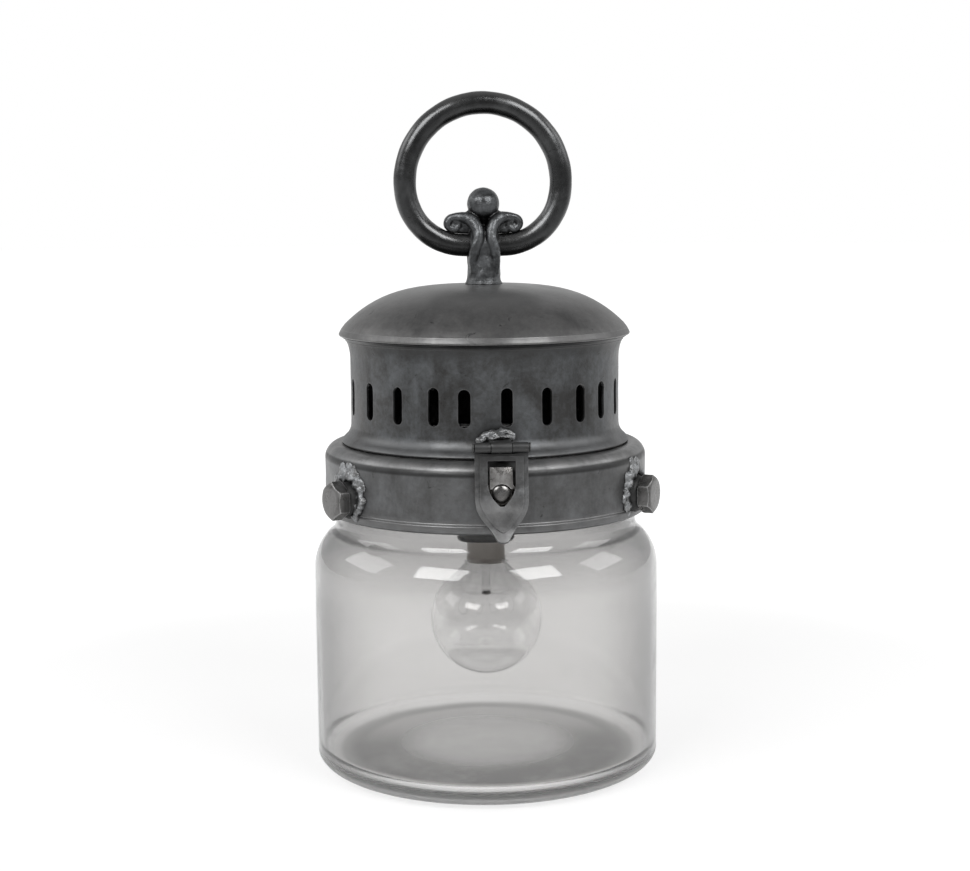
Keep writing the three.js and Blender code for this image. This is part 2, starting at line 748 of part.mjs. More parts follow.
function upperLeafGeometry() {
  const arm = hingeBarrelRadius - hingeDrop;
  const side = [
    [drumRadius, seatGap],
    [hingeOut, seatGap],
    [hingeOut, arm],
    [drumSeatRadius + hingeLeafThickness, drumSeatHeight - drumSeatChamfer],
    [drumRadius, drumSeatHeight - drumSeatChamfer],
  ];
  const flareEnd = collarRadius;
  const plan = new THREE.Shape();
  plan.moveTo(-hingeWidth / 2, drumRadius - overrun);
  plan.lineTo(hingeWidth / 2, drumRadius - overrun);
  plan.lineTo(hingeWidth / 2, drumSeatRadius + hingeLeafThickness);
  plan.lineTo(hingeKnuckleWidth / 2, flareEnd);
  plan.lineTo(hingeKnuckleWidth / 2, hingeOut + overrun);
  plan.lineTo(-hingeKnuckleWidth / 2, hingeOut + overrun);
  plan.lineTo(-hingeKnuckleWidth / 2, flareEnd);
  plan.lineTo(-hingeWidth / 2, drumSeatRadius + hingeLeafThickness);
  const planBlock = new THREE.ExtrudeGeometry(plan, { depth: drumSeatHeight + overrun, bevelEnabled: false });
  const leaf = solid(sideOutline(side, hingeWidth)).intersect(solid(planBlock));
  const knuckle = turnedAcross(disc(hingeBarrelRadius, -hingeKnuckleWidth / 2, hingeKnuckleWidth / 2));
  const pinHole = turnedAcross(disc(hingePinRadius + seatGap, -hingeWidth, hingeWidth));
  knuckle.translate(0, hingeOut, -hingeDrop);
  pinHole.translate(0, hingeOut, -hingeDrop);
  return geometryOf(cut(leaf.add(solid(knuckle)), drumSpace(), pinHole));
}

function lowerLeafGeometry() {
  const axis = seatHeight - hingeDrop;
  const top = collarTop - hingeLeafTopDrop;
  const seat = collarRadius + seatGap;
  const plate = [
    [collarRadius - overrun, top - hingeLeafHeight],
    [seat + hingeLeafThickness, top - hingeLeafHeight],
    [seat + hingeLeafThickness, top],
    [collarRadius - overrun, top],
  ];
  const armSide = [
    [seat, top - hingeLeafHeight / 2],
    [seat + hingeLeafThickness, top - hingeLeafHeight / 2],
    [hingeOut, axis - hingeBarrelRadius],
    [hingeOut, axis],
    [hingeOut - hingeBarrelRadius, axis],
    [seat + hingeLeafThickness, top],
    [seat, top],
  ];
  const knuckle = (hingeWidth - hingeKnuckleWidth) / 2 - turnGap;
  const pieces = [sideOutline(plate, hingeWidth)];
  for (const side of [-1, 1]) {
    const centre = side * (hingeWidth - knuckle) / 2;
    const barrel = turnedAcross(disc(hingeBarrelRadius, centre - knuckle / 2, centre + knuckle / 2));
    pieces.push(sideOutline(armSide, knuckle, centre), barrel.translate(0, hingeOut, axis));
  }
  const pinHole = turnedAcross(disc(hingePinRadius + seatGap, -hingeWidth, hingeWidth));
  pinHole.translate(0, hingeOut, axis);
  return geometryOf(cut(join(...pieces), collarSpace(), pinHole));
}

// Post, drawn from the crown of the dome upwards

function scrollGeometry(side) {
  const points = [new THREE.Vector3(side * scrollBarRadius, 0, scrollRise - scrollRadius * 2)];
  for (let step = 0; step <= scrollSteps; step += 1) {
    const share = step / scrollSteps;
    const angle = scrollStart - scrollSweep * share;
    const radius = THREE.MathUtils.lerp(scrollRadius, scrollRadius / 2, share);
    const out = scrollOut + radius * Math.cos(angle);
    points.push(new THREE.Vector3(side * out, 0, scrollRise + radius * Math.sin(angle)));
  }
  const section = new THREE.Shape().absarc(0, 0, scrollBarRadius, 0, Math.PI * 2, false);
  const extrudePath = new THREE.CatmullRomCurve3(points);
  const settings = { steps: scrollSteps * 2, extrudePath, curveSegments: scrollSides / 2 };
  return new THREE.ExtrudeGeometry(section, settings);
}

function postGeometry() {
  const neckTopRise = postBallRise - postBallRadius / 2;
  const stem = turned([
    [0, -postShankLength - seatGap],
    [postShankRadius, -postShankLength - seatGap],
    [postShankRadius, seatGap],
    [postFootRadius, seatGap],
    [postFootRadius, seatGap + postFootHeight / 3],
    [postStemRadius, seatGap + postFootHeight],
    [postStemRadius * postWaistShare, postEyeRise],
    [postNeckRadius, postEyeRise + postEyeRadius],
    [postNeckRadius, neckTopRise],
    [0, neckTopRise],
  ]);
  const eye = turnedAcross(disc(postEyeRadius, -postEyeWidth / 2, postEyeWidth / 2));
  const ball = turned(arc([0, postBallRise], [postBallRadius, postBallRadius], -90, 90, smallSides / 2));
  const bud = turned([
    [0, postEyeRise + postEyeRadius],
    [postNeckRadius / 2, postEyeRise + postEyeRadius],
    [postBallRadius * postBudShare, postBallRise - postBallRadius / 3],
    [0, postBallRise],
  ]);
  const boss = arc([0, 0], [scrollEyeRadius, scrollBarRadius + seatGap], -90, 90, outlineSteps);
  const bosses = [-1, 1].map((side) =>
    turnedOutwards(boss, scrollSides).translate(side * scrollOut, 0, scrollRise));
  const bore = turnedAcross(disc(ringBarRadius + turnGap, -postEyeWidth, postEyeWidth));
  eye.translate(0, 0, postEyeRise);
  bore.translate(0, 0, postEyeRise);
  const body = join(stem, eye, ball, bud, scrollGeometry(-1), scrollGeometry(1), ...bosses);
  return geometryOf(cut(body, bore));
}

// The ring's centre line: a straight bar through the eye, two bends and the arc.
class RingPath extends THREE.Curve {
  constructor() {
    super();
    const bend = ringBendRadius;
    const bendOut = Math.sqrt((ringRadius - bend) ** 2 - (ringCentreRise - bend) ** 2);
    const meets = Math.atan2(bend - ringCentreRise, bendOut);
    this.outline = new THREE.Path();
    this.outline.moveTo(-bendOut, 0);
    this.outline.lineTo(bendOut, 0);
    this.outline.absarc(bendOut, bend, bend, -Math.PI / 2, meets, false);
    this.outline.absarc(0, ringCentreRise, ringRadius, meets, Math.PI - meets, false);
    this.outline.absarc(-bendOut, bend, bend, Math.PI - meets, Math.PI * 1.5, false);
  }

  getPoint(share, target = new THREE.Vector3()) {
    const point = this.outline.getPointAt(share % 1);
    return target.set(point.x, 0, point.y);
  }
}

function ringGeometry() {
  const path = new RingPath();
  return geometryOf(solid(new THREE.TubeGeometry(path, ringSteps, ringBarRadius, ringSides, true)));
}

function nutGeometry(flats, threadRadius, from, to) {
  const hole = turned(disc(threadRadius + seatGap, from - overrun, to + overrun));
  return geometryOf(cut(solid(hexagon(flats, from, to)), hole));
}

// Strap and lampholder, drawn from the lid's seat

function strapGeometry() {
  const reach = drumRadius - drumWall - seatGap;
  const inner = reach - strapThickness;
  const section = [
    [-reach - overrun, strapRise],
    [reach + overrun, strapRise],
    [reach + overrun, strapRise + strapEndHeight],
    [inner - seatGap, strapRise + strapEndHeight],
    [inner - seatGap, strapTop],
    [-inner + seatGap, strapTop],
    [-inner + seatGap, strapRise + strapEndHeight],
    [-reach - overrun, strapRise + strapEndHeight],
  ];
  const strap = faceOutline(shapeOf(section), -strapWidth / 2, strapWidth / 2);
  const inside = turned(disc(reach, strapRise - overrun, strapRise + strapEndHeight + overrun), roundSides);
  const hole = turned(disc(tubeRadius + seatGap, strapRise - overrun, strapTop + overrun));
  return geometryOf(cut(solid(strap).intersect(solid(inside)), hole));
}

function holderCapGeometry() {
  const bottom = holderCapTop - holderCapHeight;
  const bore = tubeRadius + seatGap;
  const roof = holderCapTop - holderCapWall * 2;
  return turned([
    [bore, holderCapTop],
    [bore, roof - tubeInHolder],
    [holderCapNeckRadius, roof - tubeInHolder],
    [holderRadius - holderCapWall, bottom + holderCapWall],
    [holderRadius - holderCapWall, bottom],
    [holderRadius, bottom],
    [holderRadius, bottom + holderCapHeight / 3],
    ...arc([holderCapNeckRadius, bottom + holderCapHeight / 3],
      [holderRadius - holderCapNeckRadius, holderCapHeight / 2], holderCapDegrees, 90),
    [holderCapNeckRadius, holderCapTop],
  ], bulbSides);
}

function holderBodyGeometry() {
  const bore = bulbCapRadius + seatGap;
  return turned([
    [bore, holderBottom],
    [holderLipRadius - seatGap, holderBottom],
    [holderLipRadius, holderBottom + holderLipHeight / 3],
    [holderLipRadius, holderBottom + holderLipHeight],
    [holderRadius, holderBottom + holderLipHeight + (holderLipRadius - holderRadius)],
    [holderRadius, holderTop],
    [bore, holderTop],
  ], bulbSides);
}

// Bulb, drawn from the lid's seat

function bulbGlassGeometry() {
  const top = bulbRim + bulbCapLength / 2;
  const neckFoot = bulbCentre + bulbDrop * bulbShoulderShare;
  const side = (radius, neck) => {
    const lobe = arc([0, bulbCentre], [radius, radius], -90, bulbLobeDegrees, bulbLobeSteps);
    const [lobeOut, lobeUp] = lobe[lobe.length - 1];
    const hollow = THREE.MathUtils.lerp(lobeOut, neck, bulbHollowShare);
    return [...lobe, [hollow, (lobeUp + neckFoot) / 2], [neck, neckFoot], [neck, top]];
  };
  const outer = side(bulbRadius, bulbNeckRadius);
  const inner = side(bulbRadius - bulbWall, bulbNeckRadius - bulbWall).reverse();
  return geometryOf(solid(turned([...outer, ...inner], bulbSides)));
}

function bulbCapGeometry() {
  const top = bulbRim + bulbCapLength;
  const start = bulbRim + bulbCapLength * bulbLeadShare;
  const end = start + bulbCapLength * bulbThreadShare;
  const root = bulbCapRadius - bulbThreadDepth;
  const ridges = Array.from({ length: bulbThreadTurns }, (_, index) => [
    [root, THREE.MathUtils.lerp(start, end, index / bulbThreadTurns)],
    [bulbCapRadius, THREE.MathUtils.lerp(start, end, (index * 2 + 1) / (bulbThreadTurns * 2))],
  ]).flat();
  return turned([
    [bulbCapInner, bulbRim + seatGap],
    [root, bulbRim + seatGap],
    ...ridges,
    [root, end],
    [bulbContactRadius + bulbThreadDepth, top],
    [bulbContactRadius, top + bulbContactHeight],
    [0, top + bulbContactHeight],
    [0, top - bulbCapWall],
    [bulbContactRadius, top - bulbCapWall],
    [bulbCapInner, end],
  ], bulbSides);
}

function stemGeometry() {
  const top = stemTop;
  return turned([
    [0, top],
    [stemRadius, top],
    [stemTubeRadius, top - stemFlareLength],
    [stemTubeRadius, top - stemLength + stemPinchRadius * 2],
    [stemPinchRadius, top - stemLength],
    [0, top - stemLength],
  ], smallSides / 2);
}

function filamentGeometry() {
  const root = stemTop - stemLength - seatGap;
  const reach = stemPinchRadius - filamentWireRadius;
  const level = root - filamentDrop;
  const lead = root - stemPinchRadius;
  const points = [new THREE.Vector3(-reach, 0, root), new THREE.Vector3(-reach, 0, lead)];
  const crossings = filamentWaves * 2;
  for (let step = 0; step <= crossings; step += 1) {
    const across = THREE.MathUtils.lerp(-filamentHalfWidth, filamentHalfWidth, step / crossings);
    points.push(new THREE.Vector3(across, 0, step % 2 ? level - filamentPeak : level));
  }
  points.push(new THREE.Vector3(reach, 0, lead), new THREE.Vector3(reach, 0, root));
  const section = new THREE.Shape().absarc(0, 0, filamentWireRadius, 0, Math.PI * 2, false);
  const extrudePath = new THREE.CatmullRomCurve3(points, false, 'centripetal');
  const steps = points.length * wireSteps;
  return new THREE.ExtrudeGeometry(section, { steps, extrudePath, curveSegments: wireSides / 2 });
}

// Assembly

const lantern = new THREE.Group();
lantern.add(mesh('glass_jar', jarGeometry(), 'jarGlass'));
lantern.add(mesh('collar_ring', collarGeometry(), 'collar'));

const screwPlaces = { rear: 0, left: screwTurn, right: -screwTurn };
for (const [place, turn] of Object.entries(screwPlaces)) {
  const station = new THREE.Group();
  station.position.z = screwHeight;
  station.rotation.z = turn;
  station.add(mesh(`screw_boss_${place}`, bossGeometry(), 'collar'));
  station.add(mesh(`clamp_screw_${place}`, screwGeometry(), 'bareSteel'));
  lantern.add(station);
}

const front = new THREE.Group();
front.rotation.z = Math.PI;
front.add(mesh('keeper_plate', wedgeGeometry(), 'bareSteel'));
const stud = mesh('keeper_stud', studGeometry(), 'nickel');
stud.position.z = collarTop - studDrop;
front.add(stud);
lantern.add(front);

lantern.add(mesh('hinge_leaf_lower', lowerLeafGeometry(), 'collar'));
const hingePinShape = pinGeometry(hingePinRadius, hingePinHeadRadius, hingePinHead, hingeWidth);
const hingePin = mesh('lid_hinge_pin', hingePinShape, 'darkSteel');
hingePin.position.set(0, hingeOut, seatHeight - hingeDrop);
lantern.add(hingePin);

const lid = new THREE.Group();
lid.position.z = seatHeight;
lantern.add(lid);
lid.add(mesh('vent_drum', drumGeometry(), 'drum'));
lid.add(mesh('cable_bush', bushGeometry(), 'rubber'));
lid.add(mesh('hinge_leaf_upper', upperLeafGeometry(), 'drum'));
lid.add(mesh('bridge_strap', strapGeometry(), 'darkSteel'));

const dome = mesh('dome_cap', domeGeometry(), 'dome');
dome.position.z = domeBase;
lid.add(dome);

const lidFront = new THREE.Group();
lidFront.rotation.z = Math.PI;
lidFront.add(mesh('hasp_lug', lugGeometry(), 'drum'));
const hasp = new THREE.Group();
hasp.position.set(0, haspPivotOut, haspPivotRise);
hasp.add(mesh('hasp_plate', haspGeometry(), 'casting'));
const haspPinShape = pinGeometry(haspPinRadius, haspPinHeadRadius, haspPinHead, haspWidth);
hasp.add(mesh('hasp_pin', haspPinShape, 'darkSteel'));
lidFront.add(hasp);
lid.add(lidFront);

const top = new THREE.Group();
top.position.z = crown;
top.add(mesh('handle_post', postGeometry(), 'casting'));
const washerTop = -domeSheet - seatGap;
const nutTop = washerTop - washerHeight - seatGap;
const washer = sleeve(postShankRadius + seatGap, washerRadius, washerTop - washerHeight, washerTop);
top.add(mesh('post_washer', turned(washer), 'darkSteel'));
const postNut = nutGeometry(postNutFlats, postShankRadius, nutTop - postNutHeight, nutTop);
top.add(mesh('post_nut', postNut, 'darkSteel'));
const ring = mesh('ring_handle', ringGeometry(), 'ring');
ring.position.z = postEyeRise;
top.add(ring);
lid.add(top);

const upperNutTop = strapTop + seatGap + locknutHeight;
const upperNut = nutGeometry(locknutFlats, tubeRadius, upperNutTop - locknutHeight, upperNutTop);
const lowerNut = nutGeometry(locknutFlats, tubeRadius, lowerNutTop - locknutHeight, lowerNutTop);
lid.add(mesh('locknut_upper', upperNut, 'nickel'));
lid.add(mesh('locknut_lower', lowerNut, 'nickel'));
const tube = sleeve(tubeBoreRadius, tubeRadius, holderCapTop - tubeInHolder, upperNutTop + tubeAboveNut);
lid.add(mesh('threaded_tube', turned(tube), 'nickel'));
lid.add(mesh('lampholder_cap', holderCapGeometry(), 'bakelite'));
lid.add(mesh('lampholder_body', holderBodyGeometry(), 'bakelite'));
const coreTop = holderTop - seatGap;
const coreBottom = bulbRim + bulbCapLength + bulbContactHeight + seatGap;
lid.add(mesh('lampholder_core', turned(disc(bulbCapRadius, coreBottom, coreTop), bulbSides), 'bakelite'));
lid.add(mesh('bulb_glass', bulbGlassGeometry(), 'bulbGlass'));
lid.add(mesh('bulb_cap', bulbCapGeometry(), 'nickel'));
lid.add(mesh('bulb_stem', stemGeometry(), 'bulbGlass'));
lid.add(mesh('bulb_filament', filamentGeometry(), 'darkSteel'));

export default lantern;
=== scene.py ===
import math
import random

import bmesh
import bpy
from mathutils import Matrix, Vector


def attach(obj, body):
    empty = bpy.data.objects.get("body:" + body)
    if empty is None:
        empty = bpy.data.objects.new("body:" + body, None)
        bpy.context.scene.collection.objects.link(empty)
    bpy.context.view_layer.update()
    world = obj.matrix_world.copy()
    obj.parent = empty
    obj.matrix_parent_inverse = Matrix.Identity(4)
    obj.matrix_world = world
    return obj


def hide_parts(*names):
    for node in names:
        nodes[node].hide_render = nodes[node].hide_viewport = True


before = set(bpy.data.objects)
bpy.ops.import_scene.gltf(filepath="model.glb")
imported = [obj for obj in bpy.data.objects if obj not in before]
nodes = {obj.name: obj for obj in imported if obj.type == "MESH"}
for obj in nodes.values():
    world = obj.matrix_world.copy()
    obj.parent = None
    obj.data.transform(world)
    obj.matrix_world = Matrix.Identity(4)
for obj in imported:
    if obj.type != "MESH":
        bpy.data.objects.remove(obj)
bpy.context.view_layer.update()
mm = 0.001

# Stable lantern. Sizes are in millimetres and become metres where a piece is placed.


# Working in edit mode

def deselectAll():
    if bpy.context.object and bpy.context.object.mode == "EDIT":
        bpy.ops.object.mode_set(mode="OBJECT")
    bpy.ops.object.select_all(action="DESELECT")


def choose(piece):
    deselectAll()
    piece.select_set(True)
    bpy.context.view_layer.objects.active = piece


def editing(piece):
    choose(piece)
    bpy.ops.object.mode_set(mode="EDIT")
    bpy.ops.mesh.select_mode(type="VERT")
    bpy.ops.mesh.select_all(action="DESELECT")


def done():
    bpy.ops.object.mode_set(mode="OBJECT")


def pick(piece, wanted):  # selects the corners whose place, in millimetres, is wanted
    bm = bmesh.from_edit_mesh(piece.data)
    for vert in bm.verts:
        vert.select = bool(wanted(vert.co / mm))
    bm.select_flush_mode()
    bmesh.update_edit_mesh(piece.data)


def settle(piece):  # the object ends at the origin, unturned and unscaled
    choose(piece)
    bpy.ops.object.transform_apply(location=True, rotation=True, scale=True)


def soften(piece, degrees):
    choose(piece)
    bpy.ops.object.shade_smooth_by_angle(angle=math.radians(degrees))


def tidyMesh(piece, recalculate=True):
    editing(piece)
    bpy.ops.mesh.select_all(action="SELECT")
    bpy.ops.mesh.remove_doubles(threshold=0.002 * mm)
    if recalculate:
        bpy.ops.mesh.normals_make_consistent(inside=False)
    done()


def joined(name, *pieces):
    deselectAll()
    for piece in pieces:
        piece.select_set(True)
    bpy.context.view_layer.objects.active = pieces[0]
    bpy.ops.object.join()
    pieces[0].name = pieces[0].data.name = name
    return pieces[0]


def copyOf(piece, name):
    copied = piece.copy()
    copied.data = piece.data.copy()
    copied.name = copied.data.name = name
    bpy.context.scene.collection.objects.link(copied)
    return copied


# Modifiers, applied at once

def modifier(piece, kind, **settings):
    choose(piece)
    made = piece.modifiers.new(kind.lower(), kind)
    for key, value in settings.items():
        setattr(made, key, value)
    bpy.ops.object.modifier_apply(modifier=made.name)


def combine(piece, other, operation):  # the other piece is used up
    modifier(piece, "BOOLEAN", operation=operation, object=other, solver="EXACT")
    bpy.data.objects.remove(other)


def cutWith(piece, cutter):
    combine(piece, cutter, "DIFFERENCE")


def breakEdges(piece, width, degrees, segments=2):
    modifier(piece, "BEVEL", width=width * mm, segments=segments, limit_method="ANGLE",
             angle_limit=math.radians(degrees))


def fuse(piece, voxel):
    modifier(piece, "REMESH", mode="VOXEL", voxel_size=voxel * mm)


def relax(piece, times):
    modifier(piece, "SMOOTH", factor=0.5, iterations=times)


def lumpy(piece, size, strength, seed):
    lumps = bpy.data.textures.new("lumps" + str(seed), "CLOUDS")
    lumps.noise_scale = size * mm
    lumps.noise_depth = 2
    shift = Vector((seed * 0.37, seed * 0.11, seed * 0.23))  # another part of the clouds for each seed
    piece.data.transform(Matrix.Translation(shift))
    modifier(piece, "DISPLACE", texture=lumps, strength=strength * mm, mid_level=0.5, texture_coords="LOCAL")
    piece.data.transform(Matrix.Translation(-shift))


# Outlines

def arc(centre, size, start, end, steps):
    angles = [math.radians(start + (end - start) * step / steps) for step in range(steps + 1)]
    return [(centre[0] + size[0] * math.cos(angle), centre[1] + size[1] * math.sin(angle)) for angle in angles]


def bow(start, control, end, steps):
    made = []
    for step in range(steps + 1):
        t = step / steps
        made.append(tuple(start[i] * (1 - t) ** 2 + control[i] * 2 * t * (1 - t) + end[i] * t * t
                          for i in (0, 1)))
    return made


def drawn(name, points):  # one corner, extruded along the points
    deselectAll()
    bpy.ops.mesh.primitive_plane_add(size=2 * mm, location=(0, 0, 0))
    piece = bpy.context.object
    piece.name = piece.data.name = name
    bpy.ops.object.mode_set(mode="EDIT")
    bpy.ops.mesh.select_all(action="SELECT")
    bpy.ops.mesh.merge(type="CENTER")
    places = [Vector(point) * mm for point in points]
    bpy.ops.transform.translate(value=places[0])
    for here, there in zip(places, places[1:]):
        bpy.ops.mesh.extrude_region_move(TRANSFORM_OT_translate={"value": there - here})
    return piece


def turned(name, profile, sides, closed=True):  # a profile of (radius, height) spun about Z
    points = [(radius, 0, height) for radius, height in profile]
    piece = drawn(name, points + points[:1] if closed else points)
    bpy.ops.mesh.select_all(action="SELECT")
    bpy.ops.mesh.spin(steps=sides, angle=math.tau, center=(0, 0, 0), axis=(0, 0, 1))
    done()
    tidyMesh(piece)
    return piece


def plate(name, outline, front, back):  # an outline across X and up Z, given a thickness along Y
    piece = drawn(name, [(x, front, z) for x, z in outline + outline[:1]])
    bpy.ops.mesh.select_all(action="SELECT")
    bpy.ops.mesh.edge_face_add()
    bpy.ops.mesh.extrude_region_move(TRANSFORM_OT_translate={"value": (0, (back - front) * mm, 0)})
    done()
    tidyMesh(piece)
    return piece


def rod(name, points, thickness, sides, closed=False, swell=None):  # a round bar along the points
    deselectAll()
    bpy.ops.curve.primitive_bezier_curve_add(location=(0, 0, 0))
    piece = bpy.context.object
    line = piece.data
    line.splines[0].bezier_points.add(len(points) - 2)
    for number, (knot, point) in enumerate(zip(line.splines[0].bezier_points, points)):
        knot.co = Vector(point) * mm
        knot.handle_left_type = knot.handle_right_type = "AUTO"
        knot.radius = swell[number] if swell else 1
    line.splines[0].use_cyclic_u = closed
    line.dimensions = "3D"
    line.resolution_u = 6
    line.bevel_depth = thickness / 2 * mm
    line.bevel_resolution = sides
    line.use_fill_caps = not closed
    choose(piece)
    bpy.ops.object.convert(target="MESH")
    piece = bpy.context.object
    piece.name = piece.data.name = name
    tidyMesh(piece)
    return piece


def cylinder(name, radius, low, high, sides):
    deselectAll()
    bpy.ops.mesh.primitive_cylinder_add(vertices=sides, radius=radius * mm, depth=(high - low) * mm,
                                        location=(0, 0, (low + high) / 2 * mm))
    piece = bpy.context.object
    piece.name = piece.data.name = name
    settle(piece)
    return piece


def ball(name, centre, size):
    deselectAll()
    bpy.ops.mesh.primitive_ico_sphere_add(subdivisions=4, radius=mm)
    piece = bpy.context.object
    piece.name = piece.data.name = name
    piece.scale = size
    piece.location = Vector(centre) * mm
    settle(piece)
    return piece


# Turning a piece into its place

def turnAbout(piece, turn):
    piece.matrix_world = Matrix.Rotation(math.radians(turn), 4, "Z")
    settle(piece)


def pointOut(piece, turn, at):  # what was made along +Z points outwards, turned about Z from the front
    piece.matrix_world = (Matrix.Rotation(math.radians(turn), 4, "Z") @ Matrix.Translation(Vector(at) * mm)
                          @ Matrix.Rotation(math.radians(90), 4, "X"))
    settle(piece)


def layAcross(piece, out, up, side=1):  # what was made along Z lies along X
    piece.matrix_world = (Matrix.Translation((0, -out * mm, up * mm))
                          @ Matrix.Rotation(side * math.pi / 2, 4, "Y"))
    settle(piece)


def boreAcross(piece, radius, out, up, reach=30, sides=32):
    bore = cylinder("bore", radius, -reach, reach, sides)
    layAcross(bore, out, up)
    cutWith(piece, bore)


# Node building

def feed(tree, socket, value):  # sets the socket, or links it where the value is another node's socket
    if isinstance(value, bpy.types.NodeSocket):
        tree.links.new(value, socket)
    else:
        socket.default_value = value


def addNode(tree, kind, values=None, **settings):
    made = tree.nodes.new(kind)
    for key, value in settings.items():
        setattr(made, key, value)
    for key, value in (values or {}).items():
        feed(tree, made.inputs[key], value)
    return made


def noise(tree, at, scale, detail, roughness, distortion=0.0):
    return addNode(tree, "ShaderNodeTexNoise", {
        "Vector": at, "Scale": scale, "Detail": detail, "Roughness": roughness, "Distortion": distortion,
    }).outputs["Fac"]


def ramp(tree, value, low, high, first=0.0, last=1.0, smooth=False):
    return addNode(tree, "ShaderNodeMapRange", {
        "Value": value, "From Min": low, "From Max": high, "To Min": first, "To Max": last,
    }, interpolation_type="SMOOTHSTEP" if smooth else "LINEAR").outputs["Result"]


def maths(tree, operation, *values, clamp=False):
    made = addNode(tree, "ShaderNodeMath", dict(enumerate(values)), operation=operation, use_clamp=clamp)
    return made.outputs[0]


def vectorMaths(tree, operation, *values):
    return addNode(tree, "ShaderNodeVectorMath", dict(enumerate(values)), operation=operation)


def blend(tree, share, first, second):  # a colour between the two
    return addNode(tree, "ShaderNodeMix", {0: share, 6: first, 7: second}, data_type="RGBA").outputs[2]


def bump(tree, height, depth, strength=1.0):
    return addNode(tree, "ShaderNodeBump", {"Height": height, "Distance": depth * mm, "Strength": strength})


def newGroup(name, ins, outs):
    group = bpy.data.node_groups.new(name, "ShaderNodeTree")
    for label, kind, value in ins:
        socket = group.interface.new_socket(label, in_out="INPUT", socket_type=kind)
        if value is not None:
            socket.default_value = value
    for label, kind in outs:
        group.interface.new_socket(label, in_out="OUTPUT", socket_type=kind)
    return group, group.nodes.new("NodeGroupInput").outputs, group.nodes.new("NodeGroupOutput").inputs


floatKind, colorKind, vectorKind = "NodeSocketFloat", "NodeSocketColor", "NodeSocketVector"


def makeMetalSurface():  # blotches, streaks, dirt and painted shade in the corners, and rubbed edges, with their height
    group, given, result = newGroup("oldMetal", [
        ("Vector", vectorKind, None),
        ("Base", colorKind, (0.1, 0.1, 0.1, 1)),
        ("Pale", colorKind, (0.2, 0.2, 0.2, 1)),
        ("Dark", colorKind, (0.03, 0.03, 0.03, 1)),
        ("Rubbed", colorKind, (0.3, 0.3, 0.3, 1)),
        ("Blotch Size", floatKind, 60.0),
        ("Blotches", floatKind, 0.5),
        ("Streaks", floatKind, 0.3),
        ("Edge Wear", floatKind, 1.0),
        ("Grime", floatKind, 0.7),
        ("Grain Size", floatKind, 900.0),
        ("Speckle Size", floatKind, 320.0),
        ("Speckle", floatKind, 0.35),
        ("Spots", floatKind, 0.6),
        ("Smooth", floatKind, 0.35),
        ("Rough", floatKind, 0.6),
    ], [("Color", colorKind), ("Roughness", floatKind), ("Height", floatKind)])
    at = given["Vector"]
    blotches = noise(group, at, given["Blotch Size"], 6.0, 0.62, 0.6)
    stretch = vectorMaths(group, "MULTIPLY", at, (70.0, 70.0, 13.0))  # streaks run down
    streaks = noise(group, stretch.outputs[0], 1.0, 5.0, 0.7)
    speckles = noise(group, at, given["Speckle Size"], 5.0, 0.75)
    spots = noise(group, at, maths(group, "MULTIPLY", given["Speckle Size"], 0.62), 3.0, 0.6, 1.2)
    grain = noise(group, at, given["Grain Size"], 4.0, 0.65)

    spread = ramp(group, blotches, 0.36, 0.66)
    speckled = maths(group, "MULTIPLY", ramp(group, speckles, 0.35, 0.65, -0.5, 0.5), given["Speckle"])
    pale = maths(group, "MULTIPLY_ADD", spread, given["Blotches"], speckled, clamp=True)
    colour = blend(group, pale, given["Base"], given["Pale"])
    streaked = ramp(group, streaks, 0.45, 0.75, 0.0, given["Streaks"])
    colour = blend(group, streaked, colour, given["Dark"])
    pitted = maths(group, "MULTIPLY", ramp(group, spots, 0.66, 0.74), given["Spots"])
    colour = blend(group, pitted, colour, given["Dark"])

    # dirt and painted shade: the colour darkens where ambient occlusion finds corners and recesses
    corners = addNode(group, "ShaderNodeAmbientOcclusion", {"Distance": 7 * mm}, samples=6)
    colour = blend(group, ramp(group, corners.outputs["AO"], 0.95, 0.45, 0.0, given["Grime"]), colour, given["Dark"])

    rounded = addNode(group, "ShaderNodeBevel", {"Radius": 0.9 * mm}, samples=6)
    facing = addNode(group, "ShaderNodeNewGeometry")
    turning = vectorMaths(group, "DOT_PRODUCT", rounded.outputs[0], facing.outputs["Normal"])
    edges = ramp(group, turning.outputs["Value"], 0.995, 0.9)
    broken = maths(group, "MULTIPLY", edges, ramp(group, blotches, 0.3, 0.6, 0.25, 1.0))
    wear = maths(group, "MULTIPLY", broken, given["Edge Wear"], clamp=True)
    feed(group, result["Color"], blend(group, wear, colour, given["Rubbed"]))

    uneven = maths(group, "ADD", maths(group, "MULTIPLY", grain, 0.55), maths(group, "MULTIPLY", spread, 0.45))
    feed(group, result["Roughness"], ramp(group, uneven, 0.2, 0.75, given["Smooth"], given["Rough"]))
    raised = maths(group, "MULTIPLY_ADD", grain, 0.5, speckles)
    feed(group, result["Height"], maths(group, "MULTIPLY_ADD", pitted, -0.8, raised))
    return group


def makeDents():  # slow unevenness of sheet that was beaten and soldered by hand
    group, given, result = newGroup("dents", [("Vector", vectorKind, None), ("Size", floatKind, 45.0)],
                                    [("Height", floatKind)])
    feed(group, result["Height"], noise(group, given["Vector"], given["Size"], 2.0, 0.5, 0.3))
    return group


metalSurface = makeMetalSurface()
dents = makeDents()


def grey(level, warm=0.0):  # a nearly neutral colour; warm leans it from blue to brown
    return (level * (1 + warm), level, level * (1 - warm), 1)


